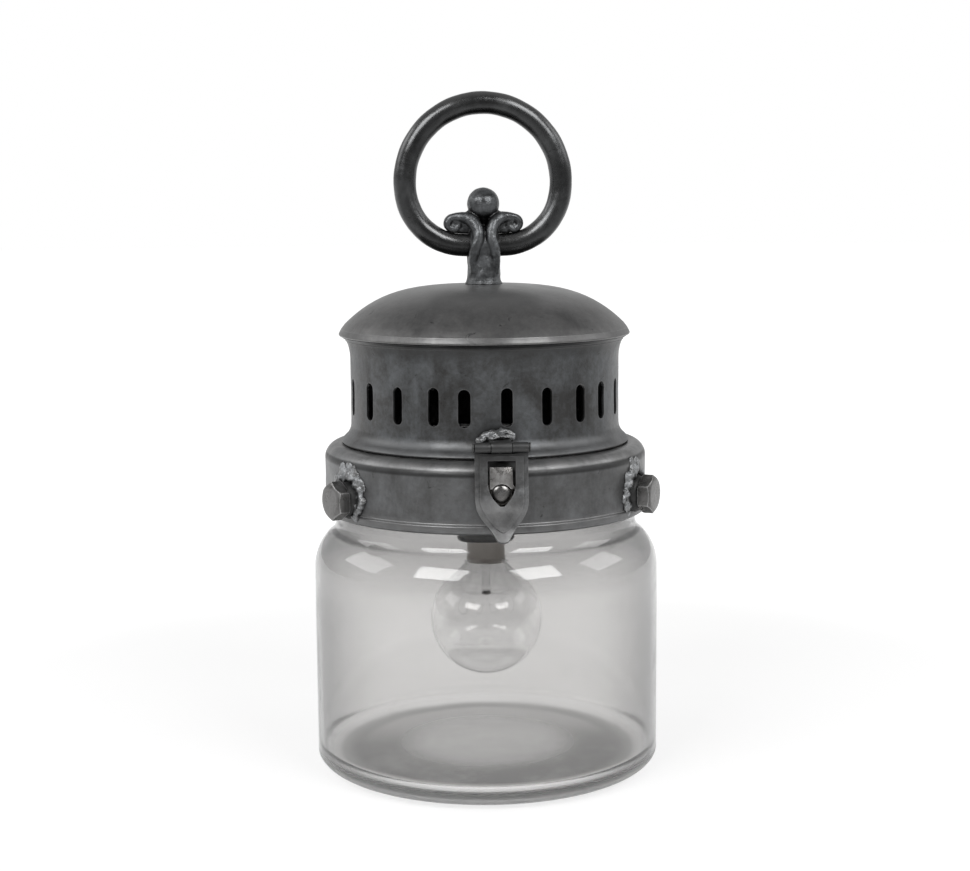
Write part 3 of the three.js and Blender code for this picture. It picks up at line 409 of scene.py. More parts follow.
def addZones(tree, where, colour, zones):
    # A zone is a colour and the ramps that it fades in by: (source, low, high, share at low, share at high).
    # The sources are the height, the place behind the axis, the distance from it, the tilt and a noise.
    if not zones:
        return colour
    at = where.outputs["Object"]
    split = addNode(tree, "ShaderNodeSeparateXYZ", {0: at})
    tilt = addNode(tree, "ShaderNodeSeparateXYZ", {0: where.outputs["Normal"]})
    flat = vectorMaths(tree, "MULTIPLY", at, (1, 1, 0))
    out = vectorMaths(tree, "LENGTH", flat.outputs[0])
    sources = {"up": (split.outputs["Z"], mm), "back": (split.outputs["Y"], mm), "out": (out.outputs["Value"], mm),
               "tilt": (tilt.outputs["Z"], 1), "noise": (noise(tree, at, 55.0, 5.0, 0.7), 1)}
    for tone, spans in zones:
        share = None
        for source, low, high, first, last in spans:
            socket, unit = sources[source]
            fade = ramp(tree, socket, low * unit, high * unit, first, last, smooth=True)
            share = fade if share is None else maths(tree, "MULTIPLY", share, fade)
        colour = blend(tree, share, colour, tone)
    return colour


def newMaterial(name):
    made = bpy.data.materials.new(name)
    made.use_nodes = True
    tree = made.node_tree
    return made, tree, tree.nodes["Principled BSDF"].inputs, addNode(tree, "ShaderNodeTexCoord")


def dentBump(tree, at, size, depth):
    wavy = addNode(tree, "ShaderNodeGroup", {"Vector": at, "Size": size}, node_tree=dents)
    return bump(tree, wavy.outputs["Height"], depth).outputs["Normal"]


def metalFinish(name, look):
    made, tree, shader, where = newMaterial(name)
    at = where.outputs["Object"]
    shader["Metallic"].default_value = look.get("metallic", 0.85)
    shader["IOR"].default_value = 1.45
    surface = addNode(tree, "ShaderNodeGroup", {"Vector": at}, node_tree=metalSurface)
    for socket in surface.inputs:  # the input Blotch Size takes the look's blotchSize
        key = socket.name[0].lower() + socket.name[1:].replace(" ", "")
        if key in look:
            socket.default_value = look[key]
    feed(tree, shader["Base Color"], addZones(tree, where, surface.outputs["Color"], look.get("zones")))
    feed(tree, shader["Roughness"], surface.outputs["Roughness"])
    fine = bump(tree, surface.outputs["Height"], look.get("grainDepth", 0.03))
    feed(tree, fine.inputs["Normal"], dentBump(tree, at, look.get("dentSize", 45.0), look.get("dentDepth", 0.3)))
    feed(tree, shader["Normal"], fine.outputs["Normal"])
    return made


def glassFinish(name, look):
    made, tree, shader, where = newMaterial(name)
    at = where.outputs["Object"]
    shader["Metallic"].default_value = 0.0
    shader["Transmission Weight"].default_value = 1.0
    shader["IOR"].default_value = look["ior"]
    film = noise(tree, at, look["filmSize"], 4.0, 0.6)
    colour = addZones(tree, where, blend(tree, film, look["clear"], look["smoky"]), look.get("zones"))
    slant = addNode(tree, "ShaderNodeLayerWeight", {"Blend": 0.5})
    deep = ramp(tree, slant.outputs["Facing"], look["edgeFrom"], 1.0, smooth=True)
    colour = blend(tree, deep, colour, look["edge"])
    feed(tree, shader["Base Color"], addZones(tree, where, colour, look.get("footZones")))
    if "footDull" in look:
        dull = ramp(tree, film, 0.4, 0.8, look["smooth"], look["dull"])
        height = addNode(tree, "ShaderNodeSeparateXYZ", {0: at})
        foot = ramp(tree, height.outputs["Z"], 6 * mm, 13 * mm, look["footDull"], 0.0, smooth=True)
        feed(tree, shader["Roughness"], maths(tree, "MAXIMUM", dull, foot))
    else:
        shader["Roughness"].default_value = look["smooth"]
    feed(tree, shader["Normal"], dentBump(tree, at, look["waveSize"], look["waveDepth"]))
    return made


def plainFinish(name, look):  # bakelite, rubber, ceramic
    made, tree, shader, where = newMaterial(name)
    mottle = noise(tree, where.outputs["Object"], look["size"], 5.0, 0.6)
    feed(tree, shader["Base Color"], blend(tree, mottle, look["base"], look["pale"]))
    feed(tree, shader["Roughness"], ramp(tree, mottle, 0.0, 1.0, look["smooth"], look["rough"]))
    feed(tree, shader["Normal"], bump(tree, mottle, 0.04, 0.6).outputs["Normal"])
    return made


metals = {
    "collarMetal": {
        "base": grey(0.13), "pale": grey(0.2, -0.03), "dark": grey(0.04, 0.05), "rubbed": grey(0.34),
        "blotchSize": 36.0, "blotches": 0.7, "streaks": 0.35, "grime": 0.8, "edgeWear": 0.5, "speckle": 0.5,
        "smooth": 0.3, "rough": 0.5, "dentSize": 38.0, "dentDepth": 0.6, "grainDepth": 0.07,
        "zones": [
            # painted shade: a dark line just below the rounded top edge
            (grey(0.035), [("up", 162.2, 163.6, 0, 0.8), ("up", 165.6, 166.6, 1, 0)]),
            # painted highlight: a brighter band over the rounded top edge
            (grey(0.26), [("up", 165.4, 166.8, 0, 1), ("noise", 0.35, 0.62, 0.2, 0.9)]),
            # painted highlight: a lighter band on the bead at the foot
            (grey(0.2), [("up", 136.4, 137.6, 0, 1), ("up", 140, 142.4, 1, 0), ("out", 82, 83, 0, 1),
                         ("noise", 0.3, 0.6, 0.1, 0.8)])]},
    "drumMetal": {
        "base": grey(0.074, 0.01), "pale": grey(0.16, -0.05), "dark": grey(0.02, 0.05), "rubbed": grey(0.28),
        "blotchSize": 40.0, "blotches": 0.8, "streaks": 0.45, "grime": 0.85, "edgeWear": 0.45, "speckle": 0.5,
        "smooth": 0.32, "rough": 0.52, "dentSize": 36.0, "dentDepth": 0.9, "grainDepth": 0.08,
        "zones": [
            # painted light: the upward-facing flare near the foot is lighter
            (grey(0.14, -0.02), [("tilt", 0.15, 0.6, 0, 1), ("noise", 0.3, 0.62, 0.2, 0.8),
                                 ("up", 178, 182, 1, 0)]),
            # painted shade: darker at the top of the wall, under the dome's rim
            (grey(0.035), [("up", 214, 223, 0, 0.7)]),
            # painted shade: the inside of the drum is nearly black
            (grey(0.005), [("out", 67.6, 68.8, 1, 0)])]},
    "domeMetal": {
        "base": grey(0.125), "pale": grey(0.2, 0.01), "dark": grey(0.045), "rubbed": grey(0.4),
        "blotchSize": 24.0, "blotches": 0.75, "streaks": 0.4, "grime": 0.4, "edgeWear": 0.8, "speckle": 0.4,
        "spots": 0.8, "smooth": 0.3, "rough": 0.46, "dentSize": 24.0, "dentDepth": 0.6, "grainDepth": 0.06,
        "zones": [
            (grey(0.115), [("up", 225.8, 226.4, 0, 1), ("up", 228.2, 229.4, 1, 0),
                           ("noise", 0.35, 0.62, 0.0, 0.9)]),
            # painted light: the upward-facing top of the dome is lighter
            (grey(0.3), [("tilt", 0.8, 0.98, 0, 0.6)])]},
    "casting": {
        "base": grey(0.075, -0.03), "pale": grey(0.18, -0.04), "dark": grey(0.014), "rubbed": grey(0.24),
        "blotchSize": 130.0, "blotches": 0.8, "streaks": 0.0, "grime": 1.0, "edgeWear": 1.0,
        "grainSize": 1400.0, "speckleSize": 520.0, "speckle": 0.5, "smooth": 0.26, "rough": 0.46,
        "dentSize": 190.0, "dentDepth": 0.5, "grainDepth": 0.12},
    "haspMetal": {
        "base": grey(0.1), "pale": grey(0.18, -0.02), "dark": grey(0.024), "rubbed": grey(0.32),
        "blotchSize": 120.0, "blotches": 0.8, "streaks": 0.3, "grime": 0.9, "edgeWear": 0.3,
        "grainSize": 1200.0, "speckleSize": 480.0, "speckle": 0.5, "smooth": 0.34, "rough": 0.56,
        "dentSize": 150.0, "dentDepth": 0.35, "grainDepth": 0.07,
        "zones": [
            # painted shade: darker at the top, over the knuckles and the lug
            (grey(0.055), [("up", 168, 175, 0, 0.85)]),
            # painted light: the lower, outward-bent part is lighter
            (grey(0.24), [("up", 156, 148, 0, 1), ("noise", 0.35, 0.6, 0.2, 0.7)])]},
    "ringMetal": {
        "base": grey(0.06, -0.01), "pale": grey(0.12, -0.02), "dark": grey(0.016), "rubbed": grey(0.16),
        "blotchSize": 50.0, "blotches": 0.7, "streaks": 0.0, "grime": 0.6, "edgeWear": 0.5, "speckle": 0.25,
        "metallic": 1.0, "smooth": 0.2, "rough": 0.36, "dentSize": 50.0, "dentDepth": 0.4, "grainDepth": 0.04,
        "zones": [
            # painted light: faces turned up are lighter
            (grey(0.24), [("tilt", 0.2, 0.9, 0, 0.85)]),
            # painted shade: faces turned down are darker
            (grey(0.014), [("tilt", -0.15, -0.8, 0, 0.8)])]},
    "weldMetal": {
        "base": grey(0.15), "pale": grey(0.42, -0.03), "dark": grey(0.03), "rubbed": grey(0.5),
        "blotchSize": 260.0, "blotches": 0.9, "streaks": 0.0, "grime": 1.0, "edgeWear": 0.4,
        "grainSize": 1100.0, "speckleSize": 700.0, "speckle": 0.8, "smooth": 0.24, "rough": 0.58,
        "dentSize": 320.0, "dentDepth": 0.8, "grainDepth": 0.15},
    "screwSteel": {
        "base": grey(0.12, 0.02), "pale": grey(0.22, 0.01), "dark": grey(0.035, 0.1), "rubbed": grey(0.75),
        "blotchSize": 190.0, "blotches": 0.7, "streaks": 0.2, "grime": 0.9, "edgeWear": 1.0,
        "grainSize": 1500.0, "speckleSize": 500.0, "speckle": 0.4, "smooth": 0.22, "rough": 0.42,
        "dentSize": 200.0, "dentDepth": 0.25, "grainDepth": 0.06},
    "bareSteel": {
        "base": grey(0.25, 0.03), "pale": grey(0.48, 0.01), "dark": grey(0.05, 0.1), "rubbed": grey(0.62),
        "blotchSize": 150.0, "blotches": 0.8, "streaks": 0.4, "grime": 0.9, "edgeWear": 0.6,
        "grainSize": 1500.0, "speckleSize": 600.0, "speckle": 0.6, "smooth": 0.2, "rough": 0.46,
        "dentSize": 200.0, "dentDepth": 0.25, "grainDepth": 0.07},
    "studSteel": {
        "base": grey(0.2, 0.02), "pale": grey(0.34, 0.01), "dark": grey(0.03, 0.1), "rubbed": grey(0.5),
        "blotchSize": 200.0, "blotches": 0.7, "grime": 1.0, "edgeWear": 0.4, "grainSize": 1500.0,
        "speckleSize": 600.0, "speckle": 0.5, "smooth": 0.18, "rough": 0.36, "metallic": 1.0},
    # dark steel, also laid on the screw bosses as painted shade
    "darkSteel": {
        "base": grey(0.05), "pale": grey(0.09), "dark": grey(0.02), "rubbed": grey(0.18), "grime": 0.9,
        "blotchSize": 120.0, "smooth": 0.38, "rough": 0.6, "grainSize": 1300.0, "speckleSize": 500.0},
    "nickel": {
        "base": grey(0.32, 0.03), "pale": grey(0.42, 0.02), "dark": grey(0.12, 0.08), "rubbed": grey(0.6),
        "blotchSize": 140.0, "blotches": 0.6, "grime": 0.8, "smooth": 0.2, "rough": 0.42, "metallic": 0.95},
    "tungsten": {
        "base": grey(0.7), "pale": grey(0.8), "dark": grey(0.6), "rubbed": grey(0.8), "blotchSize": 300.0,
        "smooth": 0.3, "rough": 0.5},
}
plains = {
    "bakelite": {"base": grey(0.018, 0.05), "pale": grey(0.035, 0.08), "size": 160.0, "smooth": 0.3, "rough": 0.5},
    "rubber": {"base": grey(0.014), "pale": grey(0.03), "size": 700.0, "smooth": 0.6, "rough": 0.85},
    "skirt": {"base": grey(0.72, 0.08), "pale": grey(0.85, 0.06), "size": 220.0, "smooth": 0.35, "rough": 0.55},
}
glasses = {
    "jarGlass": {
        "clear": grey(0.82, 0.006), "smoky": grey(0.76, 0.01), "filmSize": 14.0, "edge": grey(0.14),
        "edgeFrom": 0.14, "smooth": 0.04, "dull": 0.1, "footDull": 0.36, "waveSize": 26.0, "waveDepth": 0.25,
        "ior": 1.48,
        "zones": [
            (grey(0.45, 0.006), [("up", 98, 126, 0, 1)]),
            # painted shade: a dark ring in the base, heavier towards the front, for the shaded floor seen through it
            (grey(0.017, 0.006), [("up", 3, 6, 0, 1), ("up", 12, 17, 1, 0), ("back", -15, 50, 1, 0.35),
                                  ("out", 30, 54, 0, 1), ("out", 68, 77, 1, 0), ("noise", 0.3, 0.6, 0.65, 1)])],
        # painted shade and light seen through the base: a darker centre and back arc, and a lighter band at the outer
        # corner
        "footZones": [
            (grey(0.68, 0.006), [("up", 12, 16, 1, 0), ("out", 26, 50, 1, 0)]),
            (grey(0.58, 0.006), [("up", 12, 16, 1, 0), ("back", 0, 45, 0, 0.85), ("out", 62, 69, 1, 0)]),
            (grey(0.92, 0.006), [("up", 6, 13, 1, 0), ("out", 76, 80, 0, 1)])]},
    "bulbGlass": {
        "clear": grey(0.98), "smoky": grey(0.95), "filmSize": 40.0, "edge": grey(0.9), "edgeFrom": 0.55,
        "smooth": 0.0, "waveSize": 50.0, "waveDepth": 0.02, "ior": 1.85},
}
finishes = {}
for looks, makeFinish in ((metals, metalFinish), (plains, plainFinish), (glasses, glassFinish)):
    for name, look in looks.items():
        finishes[name] = makeFinish(name, look)
print("finishes made")


def place(piece, finish, body, slotName, *stands):
    piece.data.materials.clear()
    piece.data.materials.append(finishes[finish])
    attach(piece, body)
    if stands:
        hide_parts(*stands)


# Jar

jar = {"radius": 89.7, "wall": 2.4, "wallRings": (40, 75), "shoulderUp": 105, "shoulder": 25, "neck": 78,
       "neckWall": 3, "blend": 11, "blendRise": 5, "cornerReach": 13, "cornerHeight": 8, "floor": 6.4,
       "crown": 3, "crownShares": (0.97, 0.85, 0.7, 0.55, 0.4, 0.25, 0.12, 0), "footWidth": 16, "pushUp": 2,
       "top": 167, "sides": 160, "steps": 16}


def shoulderLine(size, neck):  # round the shoulder and up into the neck
    centre = (jar["radius"] - jar["shoulder"], jar["shoulderUp"])
    meets = math.degrees(math.acos((neck + 0.5 - centre[0]) / size))
    corner = centre[1] + size * math.sin(math.radians(meets))
    line = arc(centre, (size, size), 0, meets - jar["blend"], jar["steps"])
    return line + bow(line[-1], (neck, corner), (neck, corner + jar["blendRise"]), 7)[1:]


def makeJar():
    radius, wall, neck, steps = jar["radius"], jar["wall"], jar["neck"], jar["steps"]
    corner = (jar["cornerReach"], jar["cornerHeight"])
    footOut = radius - corner[0]
    footIn = footOut - jar["footWidth"]
    floorOut = radius - wall - corner[0]
    rim = jar["neckWall"] / 2
    profile = arc((0, 0), (footIn, jar["pushUp"]), 90, 3, steps)
    profile += [(footIn + 1.2, 0), (footOut - 2, 0)]
    profile += arc((footOut, corner[1]), corner, -88, 0, steps)
    profile += [(radius, height) for height in jar["wallRings"]]
    profile += shoulderLine(jar["shoulder"], neck)
    profile += arc((neck - rim, jar["top"] - rim), (rim, rim), 0, 180, 10)
    profile += shoulderLine(jar["shoulder"] - wall, neck - jar["neckWall"])[::-1]
    profile += [(radius - wall, height) for height in reversed(jar["wallRings"])]
    profile += arc((floorOut, jar["floor"] + corner[1]), corner, 0, -88, steps)
    profile += [(floorOut * share, jar["floor"] + jar["crown"] * (1 - share ** 2)) for share in jar["crownShares"]]
    piece = turned("jar", profile, jar["sides"], closed=False)
    soften(piece, 60)
    place(piece, "jarGlass", "base", "jar_glass", "glass_jar")


makeJar()
print("jar made")


# Collar

collar = {"radius": 83.3, "wall": 2.3, "foot": 135, "top": 169.8, "bead": 84, "mouth": 72, "lip": 78.3,
          "sides": 160}


def makeCollar():
    radius, top, foot, bead = collar["radius"], collar["top"], collar["foot"], collar["bead"]
    mouth, lip, inner = collar["mouth"], collar["lip"], radius - collar["wall"]
    profile = [(lip, foot + 0.4), (lip + 0.5, foot)]
    profile += arc((bead - 1.9, foot + 1.9), (1.9, 1.9), -90, 0, 6)
    profile += arc((bead - 1.2, foot + 3.6), (1.2, 1.1), 0, 62, 5)
    profile += arc((radius + 0.6, foot + 5.6), (0.6, 0.7), 230, 180, 3)
    profile += [(radius, foot + 12), (radius - 0.15, foot + 20), (radius - 0.05, top - 6.6)]
    profile += bow((radius - 0.05, top - 6.6), (radius - 0.1, top - 4.4), (radius - 1.9, top - 2.2), 7)[1:]
    profile += bow((radius - 1.9, top - 2.2), (radius - 3.8, top), (radius - 6.6, top), 7)[1:]
    profile += [(mouth + 0.8, top), (mouth, top - 0.8), (mouth, top - 1.9), (mouth + 0.6, top - 2.5)]
    profile += arc((inner - 2.2, top - 4.7), (2.2, 2.2), 90, 0, 5)
    profile += [(inner, foot + 2), (lip, foot + 2)]
    piece = turned("collar", profile, collar["sides"])
    soften(piece, 40)
    place(piece, "collarMetal", "base", "collar_metal", "collar_ring")


makeCollar()
print("collar made")


# Clamp screws, their bosses and the weld round them

screw = {"axis": 147, "flats": 17, "headLow": 87.4, "headHigh": 93.8, "shank": 5, "tip": 78.3, "pitch": 1.2,
         "turns": {"rear": 180, "left": -60, "right": 60}}
boss = {"radius": 9.4, "bore": 5.3, "from": 83.0, "face": 87.1}
bead = {"lumps": 70, "upperLumps": 16, "voxel": 0.35, "relaxed": 14, "coarse": (3.2, 0.9), "fine": (1.1, 0.25),
        "clearFoot": 3.2}


def makeScrew(spot, turn):
    low, high, flat, shank = screw["headLow"], screw["headHigh"], screw["flats"] / 2, screw["shank"]
    corner = screw["flats"] / math.sqrt(3)
    head = cylinder("clampScrew_" + spot, corner, low, high, 6)
    editing(head)
    pick(head, lambda at: at.z > high - 0.1)
    bpy.ops.mesh.inset(thickness=1.6 * mm)
    bpy.ops.transform.translate(value=(0, 0, 0.1 * mm))
    done()
    combine(head, turned("chamfer", [
        (0, 70), (flat + 0.2, low - 0.4), (corner + 1.6, low + 1.5), (corner + 1.6, high - 2.1),
        (flat - 0.6, high), (0, high + 0.45)], 72, closed=False), "INTERSECT")
    breakEdges(head, 0.35, 35)
    height, end = screw["tip"] + 1, low + 1
    thread = [(0, screw["tip"]), (shank - 1, screw["tip"])]
    while height < end - screw["pitch"]:
        thread += [(shank - 0.5, height), (shank, height + screw["pitch"] / 2)]
        height += screw["pitch"]
    thread += [(shank - 0.5, end), (0, end)]
    piece = joined("clampScrew_" + spot, head, turned("shank", thread, 40, closed=False))
    pointOut(piece, turn, (0, 0, screw["axis"]))
    soften(piece, 30)
    place(piece, "screwSteel", "screw_" + spot, "bare_steel", "clamp_screw_" + spot)


def makeBoss(spot, turn):
    radius, bore, start, face = boss["radius"], boss["bore"], boss["from"], boss["face"]
    piece = turned("screwBoss_" + spot, [
        (bore, start), (radius + 1, start), (radius - 0.4, start + 1.6), (radius - 0.6, face - 1.5),
        (radius - 1.8, face), (bore + 0.5, face), (bore, face - 0.5)], 64)
    pointOut(piece, turn, (0, 0, screw["axis"]))
    soften(piece, 40)
    # painted shade: the boss is dark for the shaded recess round the screw
    place(piece, "darkSteel", "base", "collar_metal", "screw_boss_" + spot)


def makeBead(spot, turn, seed):  # lumps on the collar's front, run together and turned to their boss
    chance = random.Random(seed + 4)
    blobs = []
    for number in range(bead["lumps"]):
        angle = chance.uniform(-0.9, 4.0) if number % 3 else chance.uniform(0.4, 2.7)
        out = boss["radius"] + chance.uniform(-0.6, 3.6) + (1.6 if math.sin(angle) > 0.5 else 0)
        x, z = out * math.cos(angle), screw["axis"] + out * math.sin(angle)
        if z < collar["foot"] + bead["clearFoot"]:
            continue
        depth = math.sqrt(collar["radius"] ** 2 - x * x)
        stands = chance.uniform(1.8, 3.2) - max(0.0, out - boss["radius"] - 1.5) * 0.35
        blobs.append(ball("lump", (x, -depth + 0.2, z), (chance.uniform(1.7, 3.2), stands, chance.uniform(1.7, 3.2))))
    for number in range(bead["upperLumps"]):  # the bead runs on towards the collar's top edge
        x, z = chance.uniform(-6.5, 6), screw["axis"] + chance.uniform(11, 17.5)
        depth = math.sqrt(collar["radius"] ** 2 - x * x)
        blobs.append(ball("lump", (x, -depth + 0.3, z),
                          (chance.uniform(1.5, 2.6), chance.uniform(0.7, 1.3), chance.uniform(1.6, 2.6))))
    piece = joined("weld_" + spot, *blobs)
    fuse(piece, bead["voxel"])
    relax(piece, bead["relaxed"])
    lumpy(piece, *bead["coarse"], seed)
    lumpy(piece, *bead["fine"], seed + 20)
    bore = cylinder("bore", boss["bore"] + 0.2, -30, 30, 48)
    pointOut(bore, 0, (0, -collar["radius"], screw["axis"]))
    cutWith(piece, bore)
    turnAbout(piece, turn)
    soften(piece, 60)
    place(piece, "weldMetal", "base", "collar_metal")


for seed, (spot, turn) in enumerate(screw["turns"].items()):
    makeScrew(spot, turn)
    makeBoss(spot, turn)
    makeBead(spot, turn, seed)
print("screws made")


# Keeper behind the hasp: a stud on a disc, and the bright wedge above it

keeper = {"studUp": 155, "studRadius": 5, "studHigh": 3.7, "disc": 7.4, "seat": 83.6, "half": 5.5, "top": 168.2,
          "bottom": 158, "wedgeDeep": 3, "lean": 2}


def makeKeeper():
    seat, radius, tall, disc = keeper["seat"], keeper["studRadius"], keeper["studHigh"], keeper["disc"]
    half, bottom, top = keeper["half"], keeper["bottom"], keeper["top"]
    profile = [(0, seat - 2.4), (2.5, seat - 2.4), (2.5, seat), (radius - 0.4, seat), (radius + 0.15, seat + 0.4)]
    profile += arc((0, seat + 1.6), (radius + 0.15, tall - 1.6), 0, 90, 12)
    stud = turned("keeperStud", profile, 64, closed=False)
    pointOut(stud, 0, (0, 0, keeper["studUp"]))
    soften(stud, 50)
    place(stud, "studSteel", "base", "nickel", "keeper_stud")

    studSeat = turned("studSeat", [(0, seat - 1), (disc, seat - 1), (disc, seat + 0.6), (disc - 0.7, seat + 1.3),
                                   (0, seat + 1.3)], 48, closed=False)
    pointOut(studSeat, 0, (0, 0, keeper["studUp"]))
    soften(studSeat, 40)
    place(studSeat, "studSteel", "base", "nickel")

    wedge = plate("keeperWedge", [(-half, bottom), (half, bottom), (half, top), (-half, top)],
                  -seat - keeper["wedgeDeep"], -seat + keeper["wedgeDeep"])
    editing(wedge)
    pick(wedge, lambda at: at.z > top - 1 and at.y < -seat)
    bpy.ops.transform.translate(value=(0, keeper["lean"] * mm, 0))
    done()
    room = turned("room", [(0, 70), (radius + 0.3, 70), (radius + 0.3, 95), (0, 95)], 48, closed=False)
    pointOut(room, 0, (0, 0, keeper["studUp"]))
    cutWith(wedge, room)
    cutWith(wedge, cylinder("behind", collar["radius"] + 0.25, 120, 190, 160))
    breakEdges(wedge, 0.3, 35)
    soften(wedge, 40)
    place(wedge, "bareSteel", "base", "bare_steel", "keeper_plate")


makeKeeper()
print("keeper made")


# Hasp: the bent shield with its window, and the lug that is welded to the lid

hasp = {"pivot": (87, 178), "half": 12.8, "thick": 2.2, "back": 85.5, "barrel": 2.5, "pinHole": 1.8, "tip": 131.2,
        "bend": 12, "bendLines": (158, 159.5, 161, 162.5), "curl": 25, "curlLines": (135.5, 137, 138.5, 140),
        "raised": 0.6, "border": 2.3, "lug": 10.1, "notchPlay": 0.3}
haspWeld = {"arch": 26, "side": 10, "ridge": (-3.6, -1.4, 1.0, 3.4), "top": 12, "voxel": 0.3, "lumps": (1.9, 1.3),
            "relaxed": 3}


def makeHaspPlate():
    half, (pivotOut, pivotUp) = hasp["half"], hasp["pivot"]
    shoulder, taper, tip = pivotUp - 25.5, pivotUp - 38.6, hasp["tip"]
    right = [(half, pivotUp + 0.5), (half, shoulder)]
    right += bow((half, shoulder), (half, shoulder - 6.5), (6.6, taper), 10)[1:]
    right += bow((6.6, taper), (4.6, taper - 3.4), (2.6, tip + 0.7), 5)[1:]
    right += [(1.2, tip)]
    left = [(-x, z) for x, z in reversed(right)]
    face = hasp["back"] + hasp["thick"]
    piece = plate("haspPlate", right + left, -face + hasp["raised"], -hasp["back"])

    field = half - hasp["border"]
    inset = [(field, pivotUp - 4), (field, shoulder)]
    inset += bow((field, shoulder), (field, shoulder - 5), (4.6, taper + 1.4), 10)[1:]
    inset += bow((4.6, taper + 1.4), (2.8, taper - 1.6), (0, taper - 3.2), 5)[1:]
    inset += [(-x, z) for x, z in reversed(inset[:-1])]
    combine(piece, plate("raised", inset, -face, -hasp["back"] - 0.5), "UNION")

    window = [(6.7, pivotUp - 6.3), (6.7, pivotUp - 17.5)]
    window += bow((6.7, pivotUp - 17.5), (6.4, pivotUp - 24), (0.9, pivotUp - 28.6), 8)[1:]
    window += [(-x, z) for x, z in reversed(window)]
    cutWith(piece, plate("window", window, -100, -70))
    notch = hasp["lug"] / 2 + hasp["notchPlay"]
    cutWith(piece, plate("notch", [(-notch, pivotUp - 3.1), (notch, pivotUp - 3.1), (notch, pivotUp + 9),
                                   (-notch, pivotUp + 9)], -100, -70))

    editing(piece)
    for height in sorted((*hasp["curlLines"], 141.5, *hasp["bendLines"]), reverse=True):
        bpy.ops.mesh.select_all(action="SELECT")
        bpy.ops.mesh.bisect(plane_co=(0, 0, height * mm), plane_no=(0, 0, 1))
    for lines, angle in ((hasp["curlLines"], hasp["curl"]), (hasp["bendLines"], hasp["bend"])):
        for height in lines:
            pick(piece, lambda at, height=height: at.z < height - 0.01)
            bpy.ops.transform.rotate(value=math.radians(angle / len(lines)), orient_axis="X",
                                     center_override=(0, -hasp["back"] * mm, height * mm))
    done()
    for side in (-1, 1):
        knuckle = cylinder("knuckle", hasp["barrel"], notch, half, 40)
        layAcross(knuckle, pivotOut, pivotUp, side)
        combine(piece, knuckle, "UNION")
    boreAcross(piece, hasp["pinHole"], pivotOut, pivotUp)
    breakEdges(piece, 0.45, 40, segments=3)
    soften(piece, 38)
    place(piece, "haspMetal", "hasp", "casting", "hasp_plate")


def makeHaspLug():
    side = [(66, 170.6), (75.2, 170.6), (82.6, 174.4), (85.5, 175.3)]
    side += arc(hasp["pivot"], (2.8, 2.8), -90, 90, 12) + [(74.6, 181.2), (69.2, 182.6), (66, 182.6)]
    piece = drawn("haspLug", [(-hasp["lug"] / 2, -out, up) for out, up in side + side[:1]])
    bpy.ops.mesh.select_all(action="SELECT")
    bpy.ops.mesh.remove_doubles(threshold=0.002 * mm)
    bpy.ops.mesh.edge_face_add()
    bpy.ops.mesh.extrude_region_move(TRANSFORM_OT_translate={"value": (hasp["lug"] * mm, 0, 0)})
    done()
    tidyMesh(piece)
    cutWith(piece, turned("inside", [(0, 160), (74.6, 160), (74.6, 175.4), (69.6, 177.4), (69.6, 200), (0, 200)],
                          128, closed=False))
    boreAcross(piece, hasp["pinHole"], *hasp["pivot"])
    breakEdges(piece, 0.4, 40)
    soften(piece, 38)
    place(piece, "haspMetal", "lid", "drum_metal", "hasp_lug")


def makeHaspWeld():
    chance = random.Random(5)
    blobs = []
    for number in range(haspWeld["arch"]):  # over the lug, on the drum's wall
        across, up = chance.uniform(-8.0, 6.0), chance.uniform(0, 1)
        height = 179.5 + 4.6 * (1 - (across / 9) ** 2) * up
        reach = 70.6 + (3.6 - 2.6 * up) * chance.uniform(0.6, 1.2)
        blobs.append(ball("lump", (across, -reach, height),
                          (chance.uniform(1.5, 2.8), chance.uniform(1.4, 2.4), chance.uniform(1.2, 2.0))))
    for number in range(haspWeld["side"]):  # down the lug's left side
        across = chance.uniform(-10.5, -6.8)
        blobs.append(ball("lump", (across, -math.sqrt(73.6 ** 2 - across ** 2), chance.uniform(173.5, 180)),
                          (chance.uniform(1.4, 2.2), chance.uniform(0.9, 1.6), chance.uniform(1.4, 2.4))))
    for across in haspWeld["ridge"]:  # out along the lug's top
        blobs.append(ball("lump", (across, -78.6 + 0.3 * across, 181.6), (1.9, 3.2, 1.0)))
    for number in range(haspWeld["top"]):
        across = chance.uniform(-4.0, 4.0)
        blobs.append(ball("lump", (across, chance.uniform(-81.5, -75.5), chance.uniform(181.7, 182.6)),
                          (chance.uniform(1.4, 2.2), chance.uniform(1.4, 2.2), chance.uniform(1.1, 1.7))))
    piece = joined("haspWeld", *blobs)
    fuse(piece, haspWeld["voxel"])
    lumpy(piece, *haspWeld["lumps"], 7)
    relax(piece, haspWeld["relaxed"])
    soften(piece, 60)
    place(piece, "weldMetal", "lid", "drum_metal")


makeHaspPlate()
makeHaspLug()
makeHaspWeld()
print("hasp made")


# Vent drum, with the bush for a lead in its back

drum = {"seat": 170.1, "radius": 69.4, "wall": 2, "high": 54.9, "foot": 74.4, "rim": 73.8, "cove": 12,
        "rimHigh": 0.4, "slotWidth": 5.9, "slotHigh": 18.8, "slotLow": 15.1, "sides": 168, "rearSlots": 11,
        "frontSlots": [-80.2, -60.9, -43.2, -26.2, -13.35, 3.8, 20.9, 37.7, 51.8, 68.1],
        "bushUp": 24.5, "bushHole": 4.1, "bushLip": 4.6, "bushRound": 0.8}


def slotTurns():
    first, last = drum["frontSlots"][0], drum["frontSlots"][-1]
    step = (first + 360 - last) / (drum["rearSlots"] + 1)
    return drum["frontSlots"] + [last + step * (number + 1) for number in range(drum["rearSlots"])]


def bushTurn():  # between the first two slots past the back
    past = [turn for turn in slotTurns() if turn > 180]
    return (past[0] + past[1]) / 2


